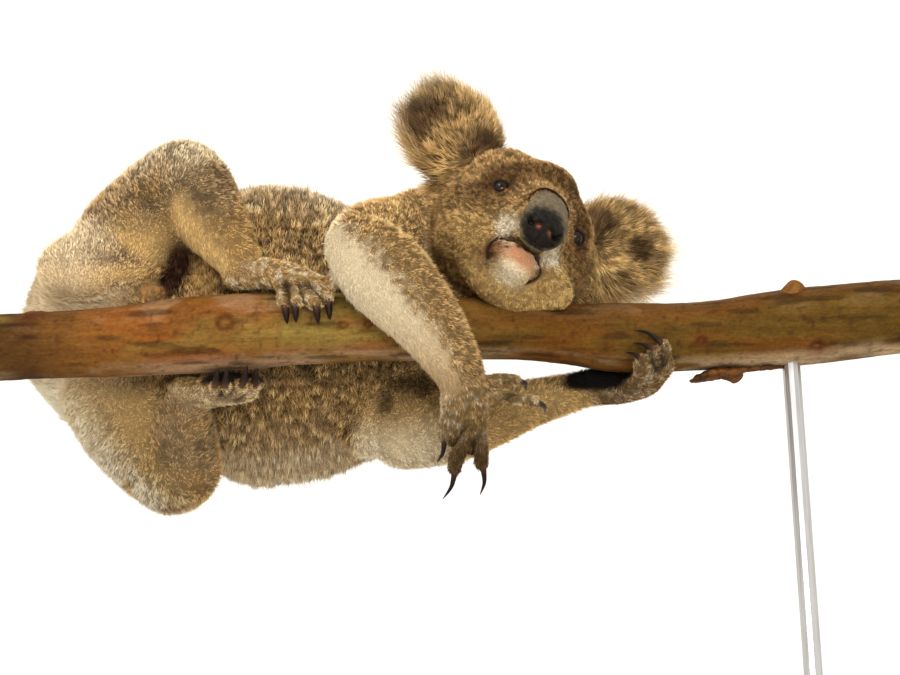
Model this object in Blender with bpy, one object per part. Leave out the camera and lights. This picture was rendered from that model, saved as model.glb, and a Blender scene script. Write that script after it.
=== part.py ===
"""A life-size koala hugging a cut length of eucalyptus branch, on a plain display stand.

Metres, +Z up. The origin is the middle of the stand's underside.

The koala and its branch are laid out in the perch's own frame, which hangs at PERCH and leans back by
LEAN: x runs along the branch towards the head, y up the koala's right flank, and z out from its belly.
The head and its pieces have a frame of their own: forward out of the nose, left, and up to the crown.
"""

import math

import bmesh
import bpy
from mathutils import Matrix, Vector

LEAN = math.radians(20)  # the line from the koala's back to its belly falls this far below level
PERCH = Vector((0.050, -0.062, 0.470))  # the middle of the branch, above the stand
GAP = 0.0003  # clearance between pieces that touch

BASE_SIZE = (0.66, 0.34, 0.022)
BASE_BEVEL = 0.004
ROD_RADIUS = 0.0065
COLLAR_RADIUS, COLLAR_HEIGHT = 0.015, 0.010
ROD_PLACES = {"left": -0.335, "right": 0.246}  # along the branch

HEAD_CENTRE = Vector((0.0465, 0.0744, -0.030))
HEAD_FORWARD = Vector((0.345, 0.259, 0.902))
HEAD_CROWN = Vector((0.450, 0.798, -0.401))
EYE = Vector((0.0356, 0.0304, 0.0073))  # the left eye's centre, in the head's frame
EYE_RADIUS = 0.0085
EYE_LOOK = Vector((0.88, 0.46, 0.05))  # the way the left eye faces
SOCKET_RADIUS = 0.0100

FLESH_SIDES = 12
DIGIT_SIDES = 6
CLAW_SIDES = 5
ROUND = (32, 62)  # the angles of the rings that round off a large end
BLUNT = (42,)  # and a small one

# name: colour, roughness, metallic
FINISHES = {
    "fur": ((0.36, 0.29, 0.20), 0.95, 0.0),
    "pale_fur": ((0.66, 0.58, 0.44), 0.95, 0.0),
    "nose_skin": ((0.035, 0.033, 0.035), 0.55, 0.0),
    "eye": ((0.045, 0.022, 0.012), 0.10, 0.0),
    "claw": ((0.050, 0.035, 0.030), 0.35, 0.0),
    "bark": ((0.40, 0.24, 0.13), 0.80, 0.0),
    "stand_wood": ((0.22, 0.13, 0.07), 0.45, 0.0),
    "stand_metal": ((0.30, 0.29, 0.28), 0.35, 1.0),
}

perch_frame = Matrix.Translation(PERCH) @ Matrix.Rotation(math.radians(90) + LEAN, 4, "X")
cutters = []  # a swollen copy of every node as it was before trimming, in the order made


# ---------------------------------------------------------------- frames and materials


def head_frame():
    """Head coordinates (forward, left, crown) to the perch's frame."""
    forward = HEAD_FORWARD.normalized()
    left = HEAD_CROWN.cross(forward).normalized()
    crown = forward.cross(left)
    axes = Matrix((forward, left, crown)).transposed().to_4x4()
    return Matrix.Translation(HEAD_CENTRE) @ axes


def material(name, finish):
    """A node's own material, with the look of that finish."""
    colour, roughness, metallic = FINISHES[finish]
    made = bpy.data.materials.new(name)
    made.use_nodes = True
    made.diffuse_color = (*colour, 1)
    shader = made.node_tree.nodes["Principled BSDF"]
    shader.inputs["Base Color"].default_value = (*colour, 1)
    shader.inputs["Roughness"].default_value = roughness
    shader.inputs["Metallic"].default_value = metallic
    return made


def linked(name, mesh):
    """A mesh in world coordinates as a new object."""
    obj = bpy.data.objects.new(name, mesh)
    bpy.context.scene.collection.objects.link(obj)
    return obj


def settle(obj, finish, group):
    """Gives a finished node its material, its origin at its own middle, and its parent empty."""
    obj.data.materials.clear()
    obj.data.materials.append(material(obj.name, finish))
    obj.data.shade_smooth()
    corners = [Vector(c) for c in obj.bound_box]
    middle = (Vector(map(min, *corners)) + Vector(map(max, *corners))) / 2
    obj.data.transform(Matrix.Translation(-middle))
    parent = bpy.data.objects.get(group)
    if parent is None:
        parent = bpy.data.objects.new(group, None)
        parent.location = PERCH if group != "stand" else (0, 0, 0)
        bpy.context.scene.collection.objects.link(parent)
    obj.parent = parent
    obj.location = middle - Vector(parent.location)


# ---------------------------------------------------------------- sweeps


def through(keys, steps):
    """Rows of numbers on a smooth curve through the key rows, with this many steps between two keys."""
    rows = []
    for i in range(len(keys) - 1):
        a, b, c, d = (keys[min(max(i + n, 0), len(keys) - 1)] for n in (-1, 0, 1, 2))
        for step in range(steps):
            t = step / steps
            rows.append(
                [
                    q + 0.5 * t * (r - p + t * (2 * p - 5 * q + 4 * r - s + t * (3 * (q - r) + s - p)))
                    for p, q, r, s in zip(a, b, c, d)
                ]
            )
    rows.append(list(keys[-1]))
    return rows


def sweep(
    stations, frame, sides=FLESH_SIDES, steps=2, caps=(1.0, 1.0), front=(0, 0, 1), power=2.0, ends=ROUND
):
    """A closed bmesh along a curve. A station is (x, y, z, half side, half front[, half back]).

    The section is an ellipse, or boxier where power is over 2, whose front half faces the front
    direction. Each end is rounded off over its smaller half width times that end's cap, by rings
    at the angles in ends.
    """
    keys = [s if len(s) == 6 else (*s, s[4]) for s in stations]
    rows = through(keys, steps)
    centres = [Vector(r[:3]) for r in rows]
    front = Vector(front)

    def tangent(i):
        return (centres[min(i + 1, len(rows) - 1)] - centres[max(i - 1, 0)]).normalized()

    bm = bmesh.new()

    def ring(centre, along, halves, scale):
        forward = (front - along * front.dot(along)).normalized()
        side = along.cross(forward)
        points = []
        for n in range(sides):
            c, s = math.cos(2 * math.pi * n / sides), math.sin(2 * math.pi * n / sides)
            reach = (abs(c) ** power + abs(s) ** power) ** (-1 / power)
            depth = halves[1] if s > 0 else halves[2]
            place = centre + side * (c * reach * scale * halves[0]) + forward * (s * reach * scale * depth)
            points.append(bm.verts.new(frame @ place))
        return points

    def cap(i, sign, length):
        """The rings that round off an end, from the end outwards, and its pole."""
        along = tangent(i)
        size = min(rows[i][3:]) * length
        angles = [math.radians(a) for a in ends]
        made = [
            ring(centres[i] + along * (sign * size * math.sin(a)), along, rows[i][3:], math.cos(a))
            for a in angles
        ]
        return made, bm.verts.new(frame @ (centres[i] + along * (sign * size)))

    first, start = cap(0, -1, caps[0])
    middle = [ring(centres[i], tangent(i), rows[i][3:], 1) for i in range(len(rows))]
    last, end = cap(len(rows) - 1, 1, caps[1])
    rings = first[::-1] + middle + last
    for low, high in zip(rings, rings[1:]):
        for n in range(sides):
            m = (n + 1) % sides
            bm.faces.new((low[n], low[m], high[m], high[n]))
    for pole, edge in ((start, rings[0]), (end, rings[-1])):
        for n in range(sides):
            bm.faces.new((edge[n], edge[(n + 1) % sides], pole))
    bmesh.ops.recalc_face_normals(bm, faces=bm.faces)
    return bm


def mesh_of(bm, name):
    bmesh.ops.triangulate(bm, faces=bm.faces)
    mesh = bpy.data.meshes.new(name)
    bm.to_mesh(mesh)
    bm.free()
    return mesh


# ---------------------------------------------------------------- joining and trimming


def boxes_meet(a, b, slack=0.001):
    """Whether the bounding boxes of two objects in world coordinates meet."""
    corners = [[Vector(c) for c in o.bound_box] for o in (a, b)]
    low = [Vector(map(min, *box)) for box in corners]
    high = [Vector(map(max, *box)) for box in corners]
    return all(low[0][k] < high[1][k] + slack and low[1][k] < high[0][k] + slack for k in range(3))


def boolean(obj, other, operation):
    """Applies one Boolean to obj with another object."""
    step = obj.modifiers.new("boolean", "BOOLEAN")
    step.object, step.operation, step.solver = other, operation, "EXACT"
    graph = bpy.context.evaluated_depsgraph_get()
    made = bpy.data.meshes.new_from_object(obj.evaluated_get(graph))
    obj.modifiers.clear()
    old, obj.data = obj.data, made
    bpy.data.meshes.remove(old)


def discard(obj):
    mesh = obj.data
    bpy.data.objects.remove(obj)
    bpy.data.meshes.remove(mesh)


def swollen(obj, by):
    """A hidden copy of obj, larger all over by that distance, to trim its neighbours with."""
    bm = bmesh.new()
    bm.from_mesh(obj.data)
    bm.normal_update()
    moves = [v.normal * min(v.calc_shell_factor(), 3.0) * by for v in bm.verts]
    for v, move in zip(bm.verts, moves):
        v.co += move
    mesh = bpy.data.meshes.new("swollen")
    bm.to_mesh(mesh)
    bm.free()
    copy = bpy.data.objects.new("swollen", mesh)
    bpy.context.scene.collection.objects.link(copy)
    copy.hide_render = True
    copy.display_type = "WIRE"
    return copy


def keep_largest(obj):
    """Drops the crumbs that a trim leaves beside the main body."""
    bm = bmesh.new()
    bm.from_mesh(obj.data)
    bmesh.ops.remove_doubles(bm, verts=bm.verts, dist=2e-6)
    bmesh.ops.dissolve_degenerate(bm, edges=bm.edges, dist=2e-6)
    left, islands = set(bm.verts), []
    while left:
        todo, island = [left.pop()], set()
        while todo:
            v = todo.pop()
            island.add(v)
            for edge in v.link_edges:
                other = edge.other_vert(v)
                if other in left:
                    left.remove(other)
                    todo.append(other)
        islands.append(island)
    islands.sort(key=len)
    bmesh.ops.delete(bm, geom=[v for island in islands[:-1] for v in island], context="VERTS")
    bmesh.ops.dissolve_limit(bm, angle_limit=math.radians(0.6), verts=bm.verts, edges=bm.edges)
    bmesh.ops.triangulate(bm, faces=bm.faces)
    bm.to_mesh(obj.data)
    bm.free()


def solid(name, bodies, finish, hollows=()):
    """One node from closed bmeshes: joined, hollowed, then trimmed clear of the nodes made before."""
    first = linked(name, mesh_of(bodies[0], name))
    for operation, shapes in (("UNION", bodies[1:]), ("DIFFERENCE", hollows)):
        for shape in shapes:
            other = linked("shape", mesh_of(shape, "shape"))
            boolean(first, other, operation)
            discard(other)
    cutter = swollen(first, GAP * 1.2)
    for neighbour in cutters:
        if boxes_meet(first, neighbour):
            boolean(first, neighbour, "DIFFERENCE")
    cutters.append(cutter)
    keep_largest(first)
    groups = {"bark": "perch", "stand_wood": "stand", "stand_metal": "stand"}
    settle(first, finish, groups.get(finish, "koala"))


# ---------------------------------------------------------------- the branch and its stand


def branch():
    """The cut length of branch, gently bowed, with a shoulder by the hind foot and a knot by the hand."""
    stations = [
        (-0.350, -0.008, 0.000, 0.024, 0.024),
        (-0.254, -0.004, 0.000, 0.025, 0.025),
        (-0.181, 0.002, 0.000, 0.028, 0.027),
        (-0.109, 0.006, 0.000, 0.026, 0.026),
        (-0.036, 0.007, 0.000, 0.024, 0.025),
        (0.036, 0.006, 0.000, 0.022, 0.023),
        (0.080, 0.003, 0.000, 0.022, 0.023),
        (0.123, 0.000, 0.000, 0.025, 0.026),
        (0.181, 0.001, 0.000, 0.025, 0.025),
        (0.254, 0.008, 0.000, 0.028, 0.027),
        (0.352, 0.018, 0.000, 0.026, 0.026),
    ]
    limb = sweep(stations, perch_frame, sides=16, steps=1, caps=(0.12, 0.12), ends=BLUNT)
    knot = sweep(
        [(0.246, 0.028, 0.004, 0.010, 0.010), (0.250, 0.036, 0.006, 0.007, 0.007)],
        perch_frame,
        sides=8,
        steps=1,
        caps=(1.0, 0.6),
        front=(1, 0, 0),
    )
    solid("branch", [limb, knot], "bark")


def bark_flake():
    """A curl of loose bark that hangs off the branch's underside."""
    stations = [
        (0.172, -0.0340, 0.008, 0.0012, 0.004),
        (0.190, -0.0280, 0.008, 0.0016, 0.009),
        (0.212, -0.0235, 0.008, 0.0016, 0.010),
        (0.230, -0.0210, 0.006, 0.0012, 0.005),
    ]
    solid("branch_bark_flake", [sweep(stations, perch_frame, sides=8, steps=1, ends=BLUNT)], "bark")


def turned(foot, profile, sides=12):
    """A closed turned shape that stands on foot, from its (radius, height) profile."""
    bm = bmesh.new()
    rings = []
    for radius, height in profile:
        turns = [2 * math.pi * n / sides for n in range(sides)]
        rings.append(
            [bm.verts.new(foot + Vector((radius * math.cos(t), radius * math.sin(t), height))) for t in turns]
        )
    for low, high in zip(rings, rings[1:]):
        for n in range(sides):
            m = (n + 1) % sides
            bm.faces.new((low[n], low[m], high[m], high[n]))
    bm.faces.new(rings[0])
    bm.faces.new(rings[-1])
    bmesh.ops.recalc_face_normals(bm, faces=bm.faces)
    return bm


def stand():
    """A flat base, with two rods that come up into the branch."""
    width, depth, thick = BASE_SIZE
    base = bmesh.new()
    bmesh.ops.create_cube(base, size=1, matrix=Matrix.Diagonal((width, depth, thick, 1)))
    bmesh.ops.translate(base, verts=base.verts, vec=(0, 0, thick / 2))
    rim = [e for e in base.edges if max(v.co.z for v in e.verts) > thick / 2]
    bmesh.ops.bevel(base, geom=rim, offset=BASE_BEVEL, segments=1, affect="EDGES", profile=0.5)
    solid("stand_base", [base], "stand_wood")
    for side, along in ROD_PLACES.items():
        foot = Vector((PERCH.x + along, PERCH.y, thick + GAP * 1.5))
        profile = [
            (COLLAR_RADIUS, 0),
            (COLLAR_RADIUS, COLLAR_HEIGHT),
            (ROD_RADIUS, COLLAR_HEIGHT),
            (ROD_RADIUS, PERCH.z - thick),
        ]
        solid("stand_rod_" + side, [turned(foot, profile)], "stand_metal")


# ---------------------------------------------------------------- trunk, neck and head


def trunk():
    """Rump to shoulders, with the small round scrotum in front of the groin."""
    stations = [
        (-0.314, 0.022, -0.116, 0.063, 0.048, 0.052),
        (-0.288, 0.014, -0.118, 0.087, 0.066, 0.067),
        (-0.250, 0.009, -0.119, 0.101, 0.082, 0.080),
        (-0.205, 0.006, -0.122, 0.107, 0.088, 0.088),
        (-0.150, 0.001, -0.121, 0.123, 0.091, 0.090),
        (-0.105, 0.003, -0.114, 0.117, 0.084, 0.086),
        (-0.062, 0.008, -0.103, 0.099, 0.072, 0.078),
        (-0.025, 0.018, -0.090, 0.070, 0.056, 0.064),
    ]
    body = sweep(stations, perch_frame, sides=18, steps=1, caps=(0.5, 0.6))
    pouch = sweep(
        [(-0.224, 0.030, -0.048, 0.008, 0.008), (-0.2185, 0.0315, -0.030, 0.0085, 0.0085)],
        perch_frame,
        sides=8,
        steps=1,
        front=(1, 0, 0),
    )
    solid("trunk", [body, pouch], "fur")


def neck():
    stations = [
        (-0.030, 0.026, -0.082, 0.064, 0.052, 0.058),
        (0.005, 0.048, -0.066, 0.056, 0.050, 0.054),
        (0.030, 0.062, -0.050, 0.050, 0.044, 0.050),
    ]
    solid("neck", [sweep(stations, perch_frame, caps=(0.5, 0.5), steps=1, ends=BLUNT)], "fur")


def head():
    """Skull, brow, cheeks and muzzle, then the parts that are seated in it."""
    frame = perch_frame @ head_frame()
    up = (0, 0, 1)
    nose = sweep(
        [
            (0.0610, 0, 0.0120, 0.0080, 0.0030, 0.0080),
            (0.0705, 0, 0.0040, 0.0120, 0.0050, 0.0100),
            (0.0765, 0, -0.0080, 0.0140, 0.0065, 0.0100),
            (0.0790, 0, -0.0190, 0.0145, 0.0070, 0.0100),
            (0.0780, 0, -0.0280, 0.0120, 0.0060, 0.0090),
        ],
        frame,
        sides=10,
        steps=1,
        front=(1, 0, 0),
        caps=(0.8, 0.7),
    )
    solid("nose", [nose], "nose_skin")
    for side, sign in (("left", 1), ("right", -1)):
        ball = bmesh.new()
        place = frame @ Matrix.Translation(Vector((EYE.x, sign * EYE.y, EYE.z)))
        bmesh.ops.create_uvsphere(ball, u_segments=10, v_segments=6, radius=EYE_RADIUS, matrix=place)
        solid("eye_" + side, [ball], "eye")
    jaw = sweep(
        [
            (0.022, 0, -0.0440, 0.026, 0.010, 0.014),
            (0.042, 0, -0.0430, 0.022, 0.008, 0.014),
            (0.058, 0, -0.0425, 0.017, 0.007, 0.013),
        ],
        frame,
        sides=12,
        steps=1,
        front=up,
        caps=(0.6, 1.0),
    )
    solid("jaw", [jaw], "pale_fur")
    skull = sweep(
        [
            (-0.046, 0, 0.003, 0.038, 0.032, 0.034),
            (-0.028, 0, 0.001, 0.054, 0.046, 0.050),
            (-0.008, 0, 0.000, 0.062, 0.053, 0.058),
            (0.012, 0, 0.000, 0.062, 0.052, 0.060),
            (0.028, 0, -0.003, 0.053, 0.047, 0.052),
            (0.040, 0, -0.006, 0.041, 0.037, 0.040),
            (0.052, 0, -0.010, 0.031, 0.029, 0.028),
            (0.063, 0, -0.014, 0.025, 0.024, 0.022),
            (0.071, 0, -0.018, 0.020, 0.019, 0.018),
        ],
        frame,
        sides=18,
        steps=1,
        front=up,
        caps=(0.45, 0.35),
        power=2.35,
    )
    cheeks = [
        sweep(
            [
                (0.010, sign * 0.036, -0.028, 0.024, 0.024),
                (0.030, sign * 0.042, -0.038, 0.018, 0.019),
                (0.043, sign * 0.043, -0.041, 0.012, 0.014),
            ],
            frame,
            sides=8,
            steps=1,
            front=up,
            ends=BLUNT,
        )
        for sign in (1, -1)
    ]
    solid("head", [skull, *cheeks], "fur", sockets(frame))
    for side, sign in (("left", 1), ("right", -1)):
        ear(side, sign, frame)


def sockets(frame):
    """The hollows that the eyes look out of."""
    hollows = []
    for sign in (1, -1):
        centre = EYE + EYE_LOOK.normalized() * (EYE_RADIUS * 0.75)
        hollow = bmesh.new()
        place = frame @ Matrix.Translation(Vector((centre.x, sign * centre.y, centre.z)))
        bmesh.ops.create_uvsphere(hollow, u_segments=8, v_segments=6, radius=SOCKET_RADIUS, matrix=place)
        hollows.append(hollow)
    return hollows


def ear(side, sign, frame):
    """A round, shallow cup that stands out from the upper corner of the head, coat included."""
    out = Vector((0, sign * 0.83, 0.56))
    root = Vector((-0.006, sign * 0.0475, 0.0285))
    stations = [
        (*(root + out * reach), width, front, back)
        for reach, width, front, back in (
            (0.000, 0.032, 0.012, 0.015),
            (0.018, 0.041, 0.014, 0.018),
            (0.042, 0.044, 0.014, 0.019),
            (0.064, 0.034, 0.011, 0.015),
            (0.074, 0.020, 0.007, 0.010),
        )
    ]
    cup = sweep(
        stations, frame, sides=14, steps=1, front=(1, 0, 0), caps=(0.5, 0.8), ends=BLUNT
    )
    hollow = bmesh.new()
    centre = root + out * 0.046 + Vector((0.030, sign * 0.002, 0))
    place = frame @ Matrix.Translation(centre)
    bmesh.ops.create_uvsphere(hollow, u_segments=10, v_segments=7, radius=0.027, matrix=place)
    solid("ear_" + side, [cup], "fur", [hollow])


# ---------------------------------------------------------------- limbs


def arm(side, upper, fore):
    solid("upper_arm_" + side, [sweep(upper, perch_frame, caps=(0.6, 0.9), ends=BLUNT)], "fur")
    solid("forearm_" + side, [sweep(fore, perch_frame, caps=(0.9, 0.5))], "fur")


def leg(side, thigh, shin):
    solid("thigh_" + side, [sweep(thigh, perch_frame, caps=(0.7, 0.9))], "fur")
    solid("shin_" + side, [sweep(shin, perch_frame, caps=(0.9, 0.6))], "fur")


def digit(points, radii):
    stations = [(*p, r, r) for p, r in zip(points, radii)]
    front = (0.2, 0.3, 0.9)
    return sweep(
        stations, perch_frame, sides=DIGIT_SIDES, steps=1, caps=(0.8, 0.9), front=front, ends=BLUNT
    )


def claw(name, points, base):
    """A curved claw from a finger tip, deeper than it is wide, that narrows to a point."""
    shares = (1.0, 0.80, 0.16)
    stations = [(*p, base * 0.62 * s, base * s) for p, s in zip(points, shares)]
    root, tip = Vector(points[0]), Vector(points[2])
    bend = (Vector(points[1]) - (root + tip) / 2).normalized()
    body = sweep(
        stations, perch_frame, sides=CLAW_SIDES, steps=1, caps=(0.5, 1.0), front=bend, ends=()
    )
    solid(name, [body], "claw")


def paw(name, palm, digits, claws, sole=(0, 0, 1)):
    """A hand or foot with its digits as one node, and a node for each claw."""
    claw_prefix = "claw_" + name
    for number, (points, base) in claws.items():
        claw(f"{claw_prefix}_{number}", points, base)
    pad = sweep(palm, perch_frame, sides=8, steps=1, caps=(0.7, 0.8), front=sole, ends=BLUNT)
    fingers = [digit(points, radii) for points, radii in digits]
    solid(name, [pad, *fingers], "fur")


def right_arm():
    """The arm that lies over the branch and hangs down in front of it."""
    arm(
        "right",
        [
            (-0.030, 0.062, -0.072, 0.042, 0.040),
            (-0.046, 0.069, -0.032, 0.038, 0.038),
            (-0.064, 0.067, 0.010, 0.030, 0.030),
        ],
        [
            (-0.068, 0.066, 0.022, 0.026, 0.024),
            (-0.047, 0.046, 0.043, 0.034, 0.028),
            (-0.012, 0.006, 0.056, 0.026, 0.024),
            (0.010, -0.030, 0.057, 0.019, 0.017),
        ],
    )
    finger = (0.0078, 0.0076, 0.0070)
    little = (0.0070, 0.0068, 0.0062)
    thumb = (0.0070, 0.0062, 0.0056)
    paw(
        "hand_right",
        [
            (0.011, -0.036, 0.056, 0.018, 0.014),
            (0.010, -0.046, 0.055, 0.0195, 0.012),
            (0.010, -0.057, 0.054, 0.017, 0.010),
        ],
        [
            (((0.000, -0.048, 0.053), (-0.003, -0.060, 0.051), (-0.0045, -0.070, 0.047)), little),
            (((0.007, -0.055, 0.055), (0.006, -0.075, 0.056), (0.003, -0.092, 0.051)), finger),
            (((0.018, -0.052, 0.055), (0.021, -0.072, 0.056), (0.022, -0.089, 0.051)), finger),
            (((0.020, -0.040, 0.050), (0.040, -0.041, 0.045), (0.060, -0.045, 0.038)), thumb),
            (((0.020, -0.032, 0.044), (0.035, -0.029, 0.035), (0.047, -0.030, 0.029)), thumb),
        ],
        {
            "5": (((-0.004, -0.072, 0.050), (-0.005, -0.081, 0.049), (-0.009, -0.088, 0.042)), 0.0036),
            "4": (((0.003, -0.094, 0.054), (0.001, -0.104, 0.052), (-0.005, -0.113, 0.044)), 0.0038),
            "3": (((0.023, -0.091, 0.054), (0.024, -0.101, 0.052), (0.021, -0.110, 0.044)), 0.0038),
            "2": (((0.062, -0.046, 0.040), (0.067, -0.049, 0.034), (0.067, -0.053, 0.026)), 0.0032),
            "1": (((0.049, -0.031, 0.031), (0.054, -0.033, 0.025), (0.054, -0.037, 0.017)), 0.0032),
        },
    )


def left_arm():
    """The arm that reaches forward below the branch and grips it."""
    arm(
        "left",
        [
            (-0.026, 0.000, -0.085, 0.048, 0.044),
            (-0.030, -0.038, -0.074, 0.040, 0.038),
            (-0.038, -0.066, -0.058, 0.032, 0.031),
        ],
        [
            (-0.038, -0.073, -0.052, 0.029, 0.027),
            (0.007, -0.067, -0.043, 0.028, 0.026),
            (0.060, -0.049, -0.035, 0.020, 0.020),
            (0.102, -0.038, -0.026, 0.015, 0.015),
        ],
    )
    finger = (0.0080, 0.0076, 0.0066)
    thumb = (0.0078, 0.0070, 0.0060)
    paw(
        "hand_left",
        [
            (0.106, -0.038, -0.024, 0.014, 0.014),
            (0.126, -0.038, -0.014, 0.012, 0.018),
            (0.142, -0.035, -0.006, 0.010, 0.018),
        ],
        [
            (((0.130, -0.038, 0.003), (0.137, -0.029, 0.021), (0.1343, -0.017, 0.031)), finger),
            (((0.138, -0.038, 0.003), (0.1455, -0.0245, 0.0225), (0.143, -0.011, 0.0325)), finger),
            (((0.145, -0.036, 0.000), (0.1545, -0.0205, 0.0215), (0.1505, -0.006, 0.0325)), finger),
            (((0.126, -0.034, -0.022), (0.134, -0.018, -0.032), (0.138, 0.000, -0.033)), thumb),
            (((0.138, -0.032, -0.018), (0.150, -0.020, -0.030), (0.156, -0.004, -0.034)), thumb),
        ],
        {
            "5": (((0.1330, -0.0145, 0.0335), (0.1285, -0.0100, 0.0340), (0.1240, -0.0110, 0.0275)), 0.0036),
            "4": (((0.1410, -0.0085, 0.0350), (0.1350, -0.0040, 0.0355), (0.1295, -0.0045, 0.0290)), 0.0038),
            "3": (((0.1480, -0.0030, 0.0350), (0.1395, 0.0035, 0.0355), (0.1295, 0.0048, 0.0290)), 0.0038),
            "2": (((0.139, 0.003, -0.034), (0.139, 0.011, -0.032), (0.138, 0.018, -0.025)), 0.0032),
            "1": (((0.157, -0.001, -0.035), (0.157, 0.008, -0.033), (0.156, 0.015, -0.026)), 0.0032),
        },
    )


def right_leg():
    """The leg drawn up beside the trunk, its foot on top of the branch."""
    leg(
        "right",
        [
            (-0.268, 0.034, -0.108, 0.052, 0.058),
            (-0.240, 0.079, -0.080, 0.046, 0.052),
            (-0.199, 0.116, -0.047, 0.037, 0.038),
        ],
        [
            (-0.193, 0.110, -0.043, 0.034, 0.034),
            (-0.173, 0.082, -0.027, 0.028, 0.028),
            (-0.152, 0.054, -0.012, 0.018, 0.018),
        ],
    )
    toe = (0.0080, 0.0078, 0.0068)
    fourth = (0.0090, 0.0090, 0.0078)
    paw(
        "foot_right",
        [
            (-0.158, 0.046, -0.012, 0.013, 0.014),
            (-0.136, 0.047, -0.003, 0.012, 0.018),
            (-0.114, 0.044, 0.007, 0.011, 0.017),
        ],
        [
            (((-0.122, 0.043, 0.012), (-0.118, 0.036, 0.028), (-0.1165, 0.023, 0.034)), toe),
            (((-0.116, 0.044, 0.014), (-0.110, 0.037, 0.029), (-0.1090, 0.024, 0.035)), toe),
            (((-0.107, 0.044, 0.012), (-0.097, 0.037, 0.027), (-0.0945, 0.024, 0.034)), fourth),
            (((-0.105, 0.043, 0.004), (-0.090, 0.037, 0.019), (-0.0870, 0.027, 0.030)), toe),
            (
                ((-0.132, 0.043, -0.014), (-0.127, 0.034, -0.028), (-0.123, 0.018, -0.034)),
                (0.0085, 0.0080, 0.0068),
            ),
        ],
        {
            "2": (((-0.1160, 0.020, 0.035), (-0.1150, 0.013, 0.036), (-0.1145, 0.006, 0.031)), 0.0032),
            "3": (((-0.1090, 0.021, 0.036), (-0.1085, 0.014, 0.037), (-0.1085, 0.007, 0.032)), 0.0034),
            "4": (((-0.0940, 0.020, 0.036), (-0.0930, 0.013, 0.037), (-0.0930, 0.006, 0.031)), 0.0036),
            "5": (((-0.0860, 0.024, 0.032), (-0.0850, 0.016, 0.034), (-0.0850, 0.009, 0.030)), 0.0032),
        },
    )


def left_leg():
    """The leg that hangs below the branch and grips its underside."""
    leg(
        "left",
        [
            (-0.264, -0.026, -0.108, 0.052, 0.058),
            (-0.241, -0.066, -0.080, 0.047, 0.052),
            (-0.208, -0.101, -0.050, 0.037, 0.038),
        ],
        [
            (-0.203, -0.098, -0.044, 0.034, 0.034),
            (-0.199, -0.070, -0.034, 0.027, 0.028),
            (-0.195, -0.046, -0.024, 0.018, 0.018),
        ],
    )
    toe = (0.0078, 0.0072, 0.0064)
    fourth = (0.0084, 0.0080, 0.0070)
    paw(
        "foot_left",
        [
            (-0.198, -0.040, -0.022, 0.013, 0.014),
            (-0.180, -0.042, -0.012, 0.011, 0.017),
            (-0.162, -0.040, -0.004, 0.010, 0.017),
        ],
        [
            (((-0.176, -0.041, 0.000), (-0.169, -0.042, 0.015), (-0.1660, -0.034, 0.026)), toe),
            (((-0.170, -0.041, 0.002), (-0.162, -0.042, 0.017), (-0.1590, -0.034, 0.028)), toe),
            (((-0.162, -0.041, 0.002), (-0.151, -0.042, 0.017), (-0.1475, -0.034, 0.028)), fourth),
            (((-0.157, -0.040, -0.004), (-0.143, -0.040, 0.010), (-0.1400, -0.033, 0.021)), toe),
            (
                ((-0.180, -0.038, -0.022), (-0.176, -0.024, -0.036), (-0.173, -0.008, -0.036)),
                (0.0085, 0.0080, 0.0068),
            ),
        ],
        {
            "2": (((-0.1655, -0.032, 0.029), (-0.1645, -0.025, 0.032), (-0.1640, -0.017, 0.030)), 0.0032),
            "3": (((-0.1585, -0.032, 0.031), (-0.1575, -0.025, 0.034), (-0.1570, -0.016, 0.031)), 0.0034),
            "4": (((-0.1465, -0.032, 0.031), (-0.1440, -0.024, 0.034), (-0.1425, -0.015, 0.030)), 0.0036),
            "5": (((-0.1390, -0.032, 0.024), (-0.1375, -0.025, 0.028), (-0.1365, -0.017, 0.027)), 0.0032),
        },
    )


def main():
    for obj in list(bpy.data.objects):
        bpy.data.objects.remove(obj)
    branch()
    bark_flake()
    stand()
    trunk()
    neck()
    head()
    right_leg()
    left_leg()
    right_arm()
    left_arm()
    for cutter in cutters:
        discard(cutter)


main()
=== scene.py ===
"""Looks for the koala on its branch: one skin under a mesh coat, with its eyes, nose, claws, bark and stand.

Metres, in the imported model's own frame. The koala was laid out in the perch's frame: x along the branch
towards the head, y up its right flank, z out from its belly. Points are often worked on there, as arrays.
"""

import math

import bmesh
import bpy
import numpy as np
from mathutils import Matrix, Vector
from mathutils.bvhtree import BVHTree


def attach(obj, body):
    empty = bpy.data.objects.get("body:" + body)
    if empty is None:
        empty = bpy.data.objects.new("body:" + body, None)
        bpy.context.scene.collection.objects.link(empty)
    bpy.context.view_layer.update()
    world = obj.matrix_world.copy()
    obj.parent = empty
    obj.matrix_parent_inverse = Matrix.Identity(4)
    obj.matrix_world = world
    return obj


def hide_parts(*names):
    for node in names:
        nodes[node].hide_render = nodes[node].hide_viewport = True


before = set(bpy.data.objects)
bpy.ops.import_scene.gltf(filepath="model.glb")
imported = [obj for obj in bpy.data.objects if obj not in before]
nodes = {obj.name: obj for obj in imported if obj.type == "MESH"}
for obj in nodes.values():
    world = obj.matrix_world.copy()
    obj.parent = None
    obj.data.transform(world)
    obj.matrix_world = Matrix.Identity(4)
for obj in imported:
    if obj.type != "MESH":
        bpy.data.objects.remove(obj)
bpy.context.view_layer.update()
rng = np.random.default_rng(11)
scene = bpy.context.scene

LEAN = math.radians(20)  # how far the perch's frame leans back from upright
PERCH = np.array((0.050, -0.062, 0.470))  # that frame's origin, on the middle of the branch
TURNED = math.radians(90) + LEAN
COS, SIN = math.cos(TURNED), math.sin(TURNED)
TURN = np.array(((1, 0, 0), (0, COS, -SIN), (0, SIN, COS)))


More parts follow.
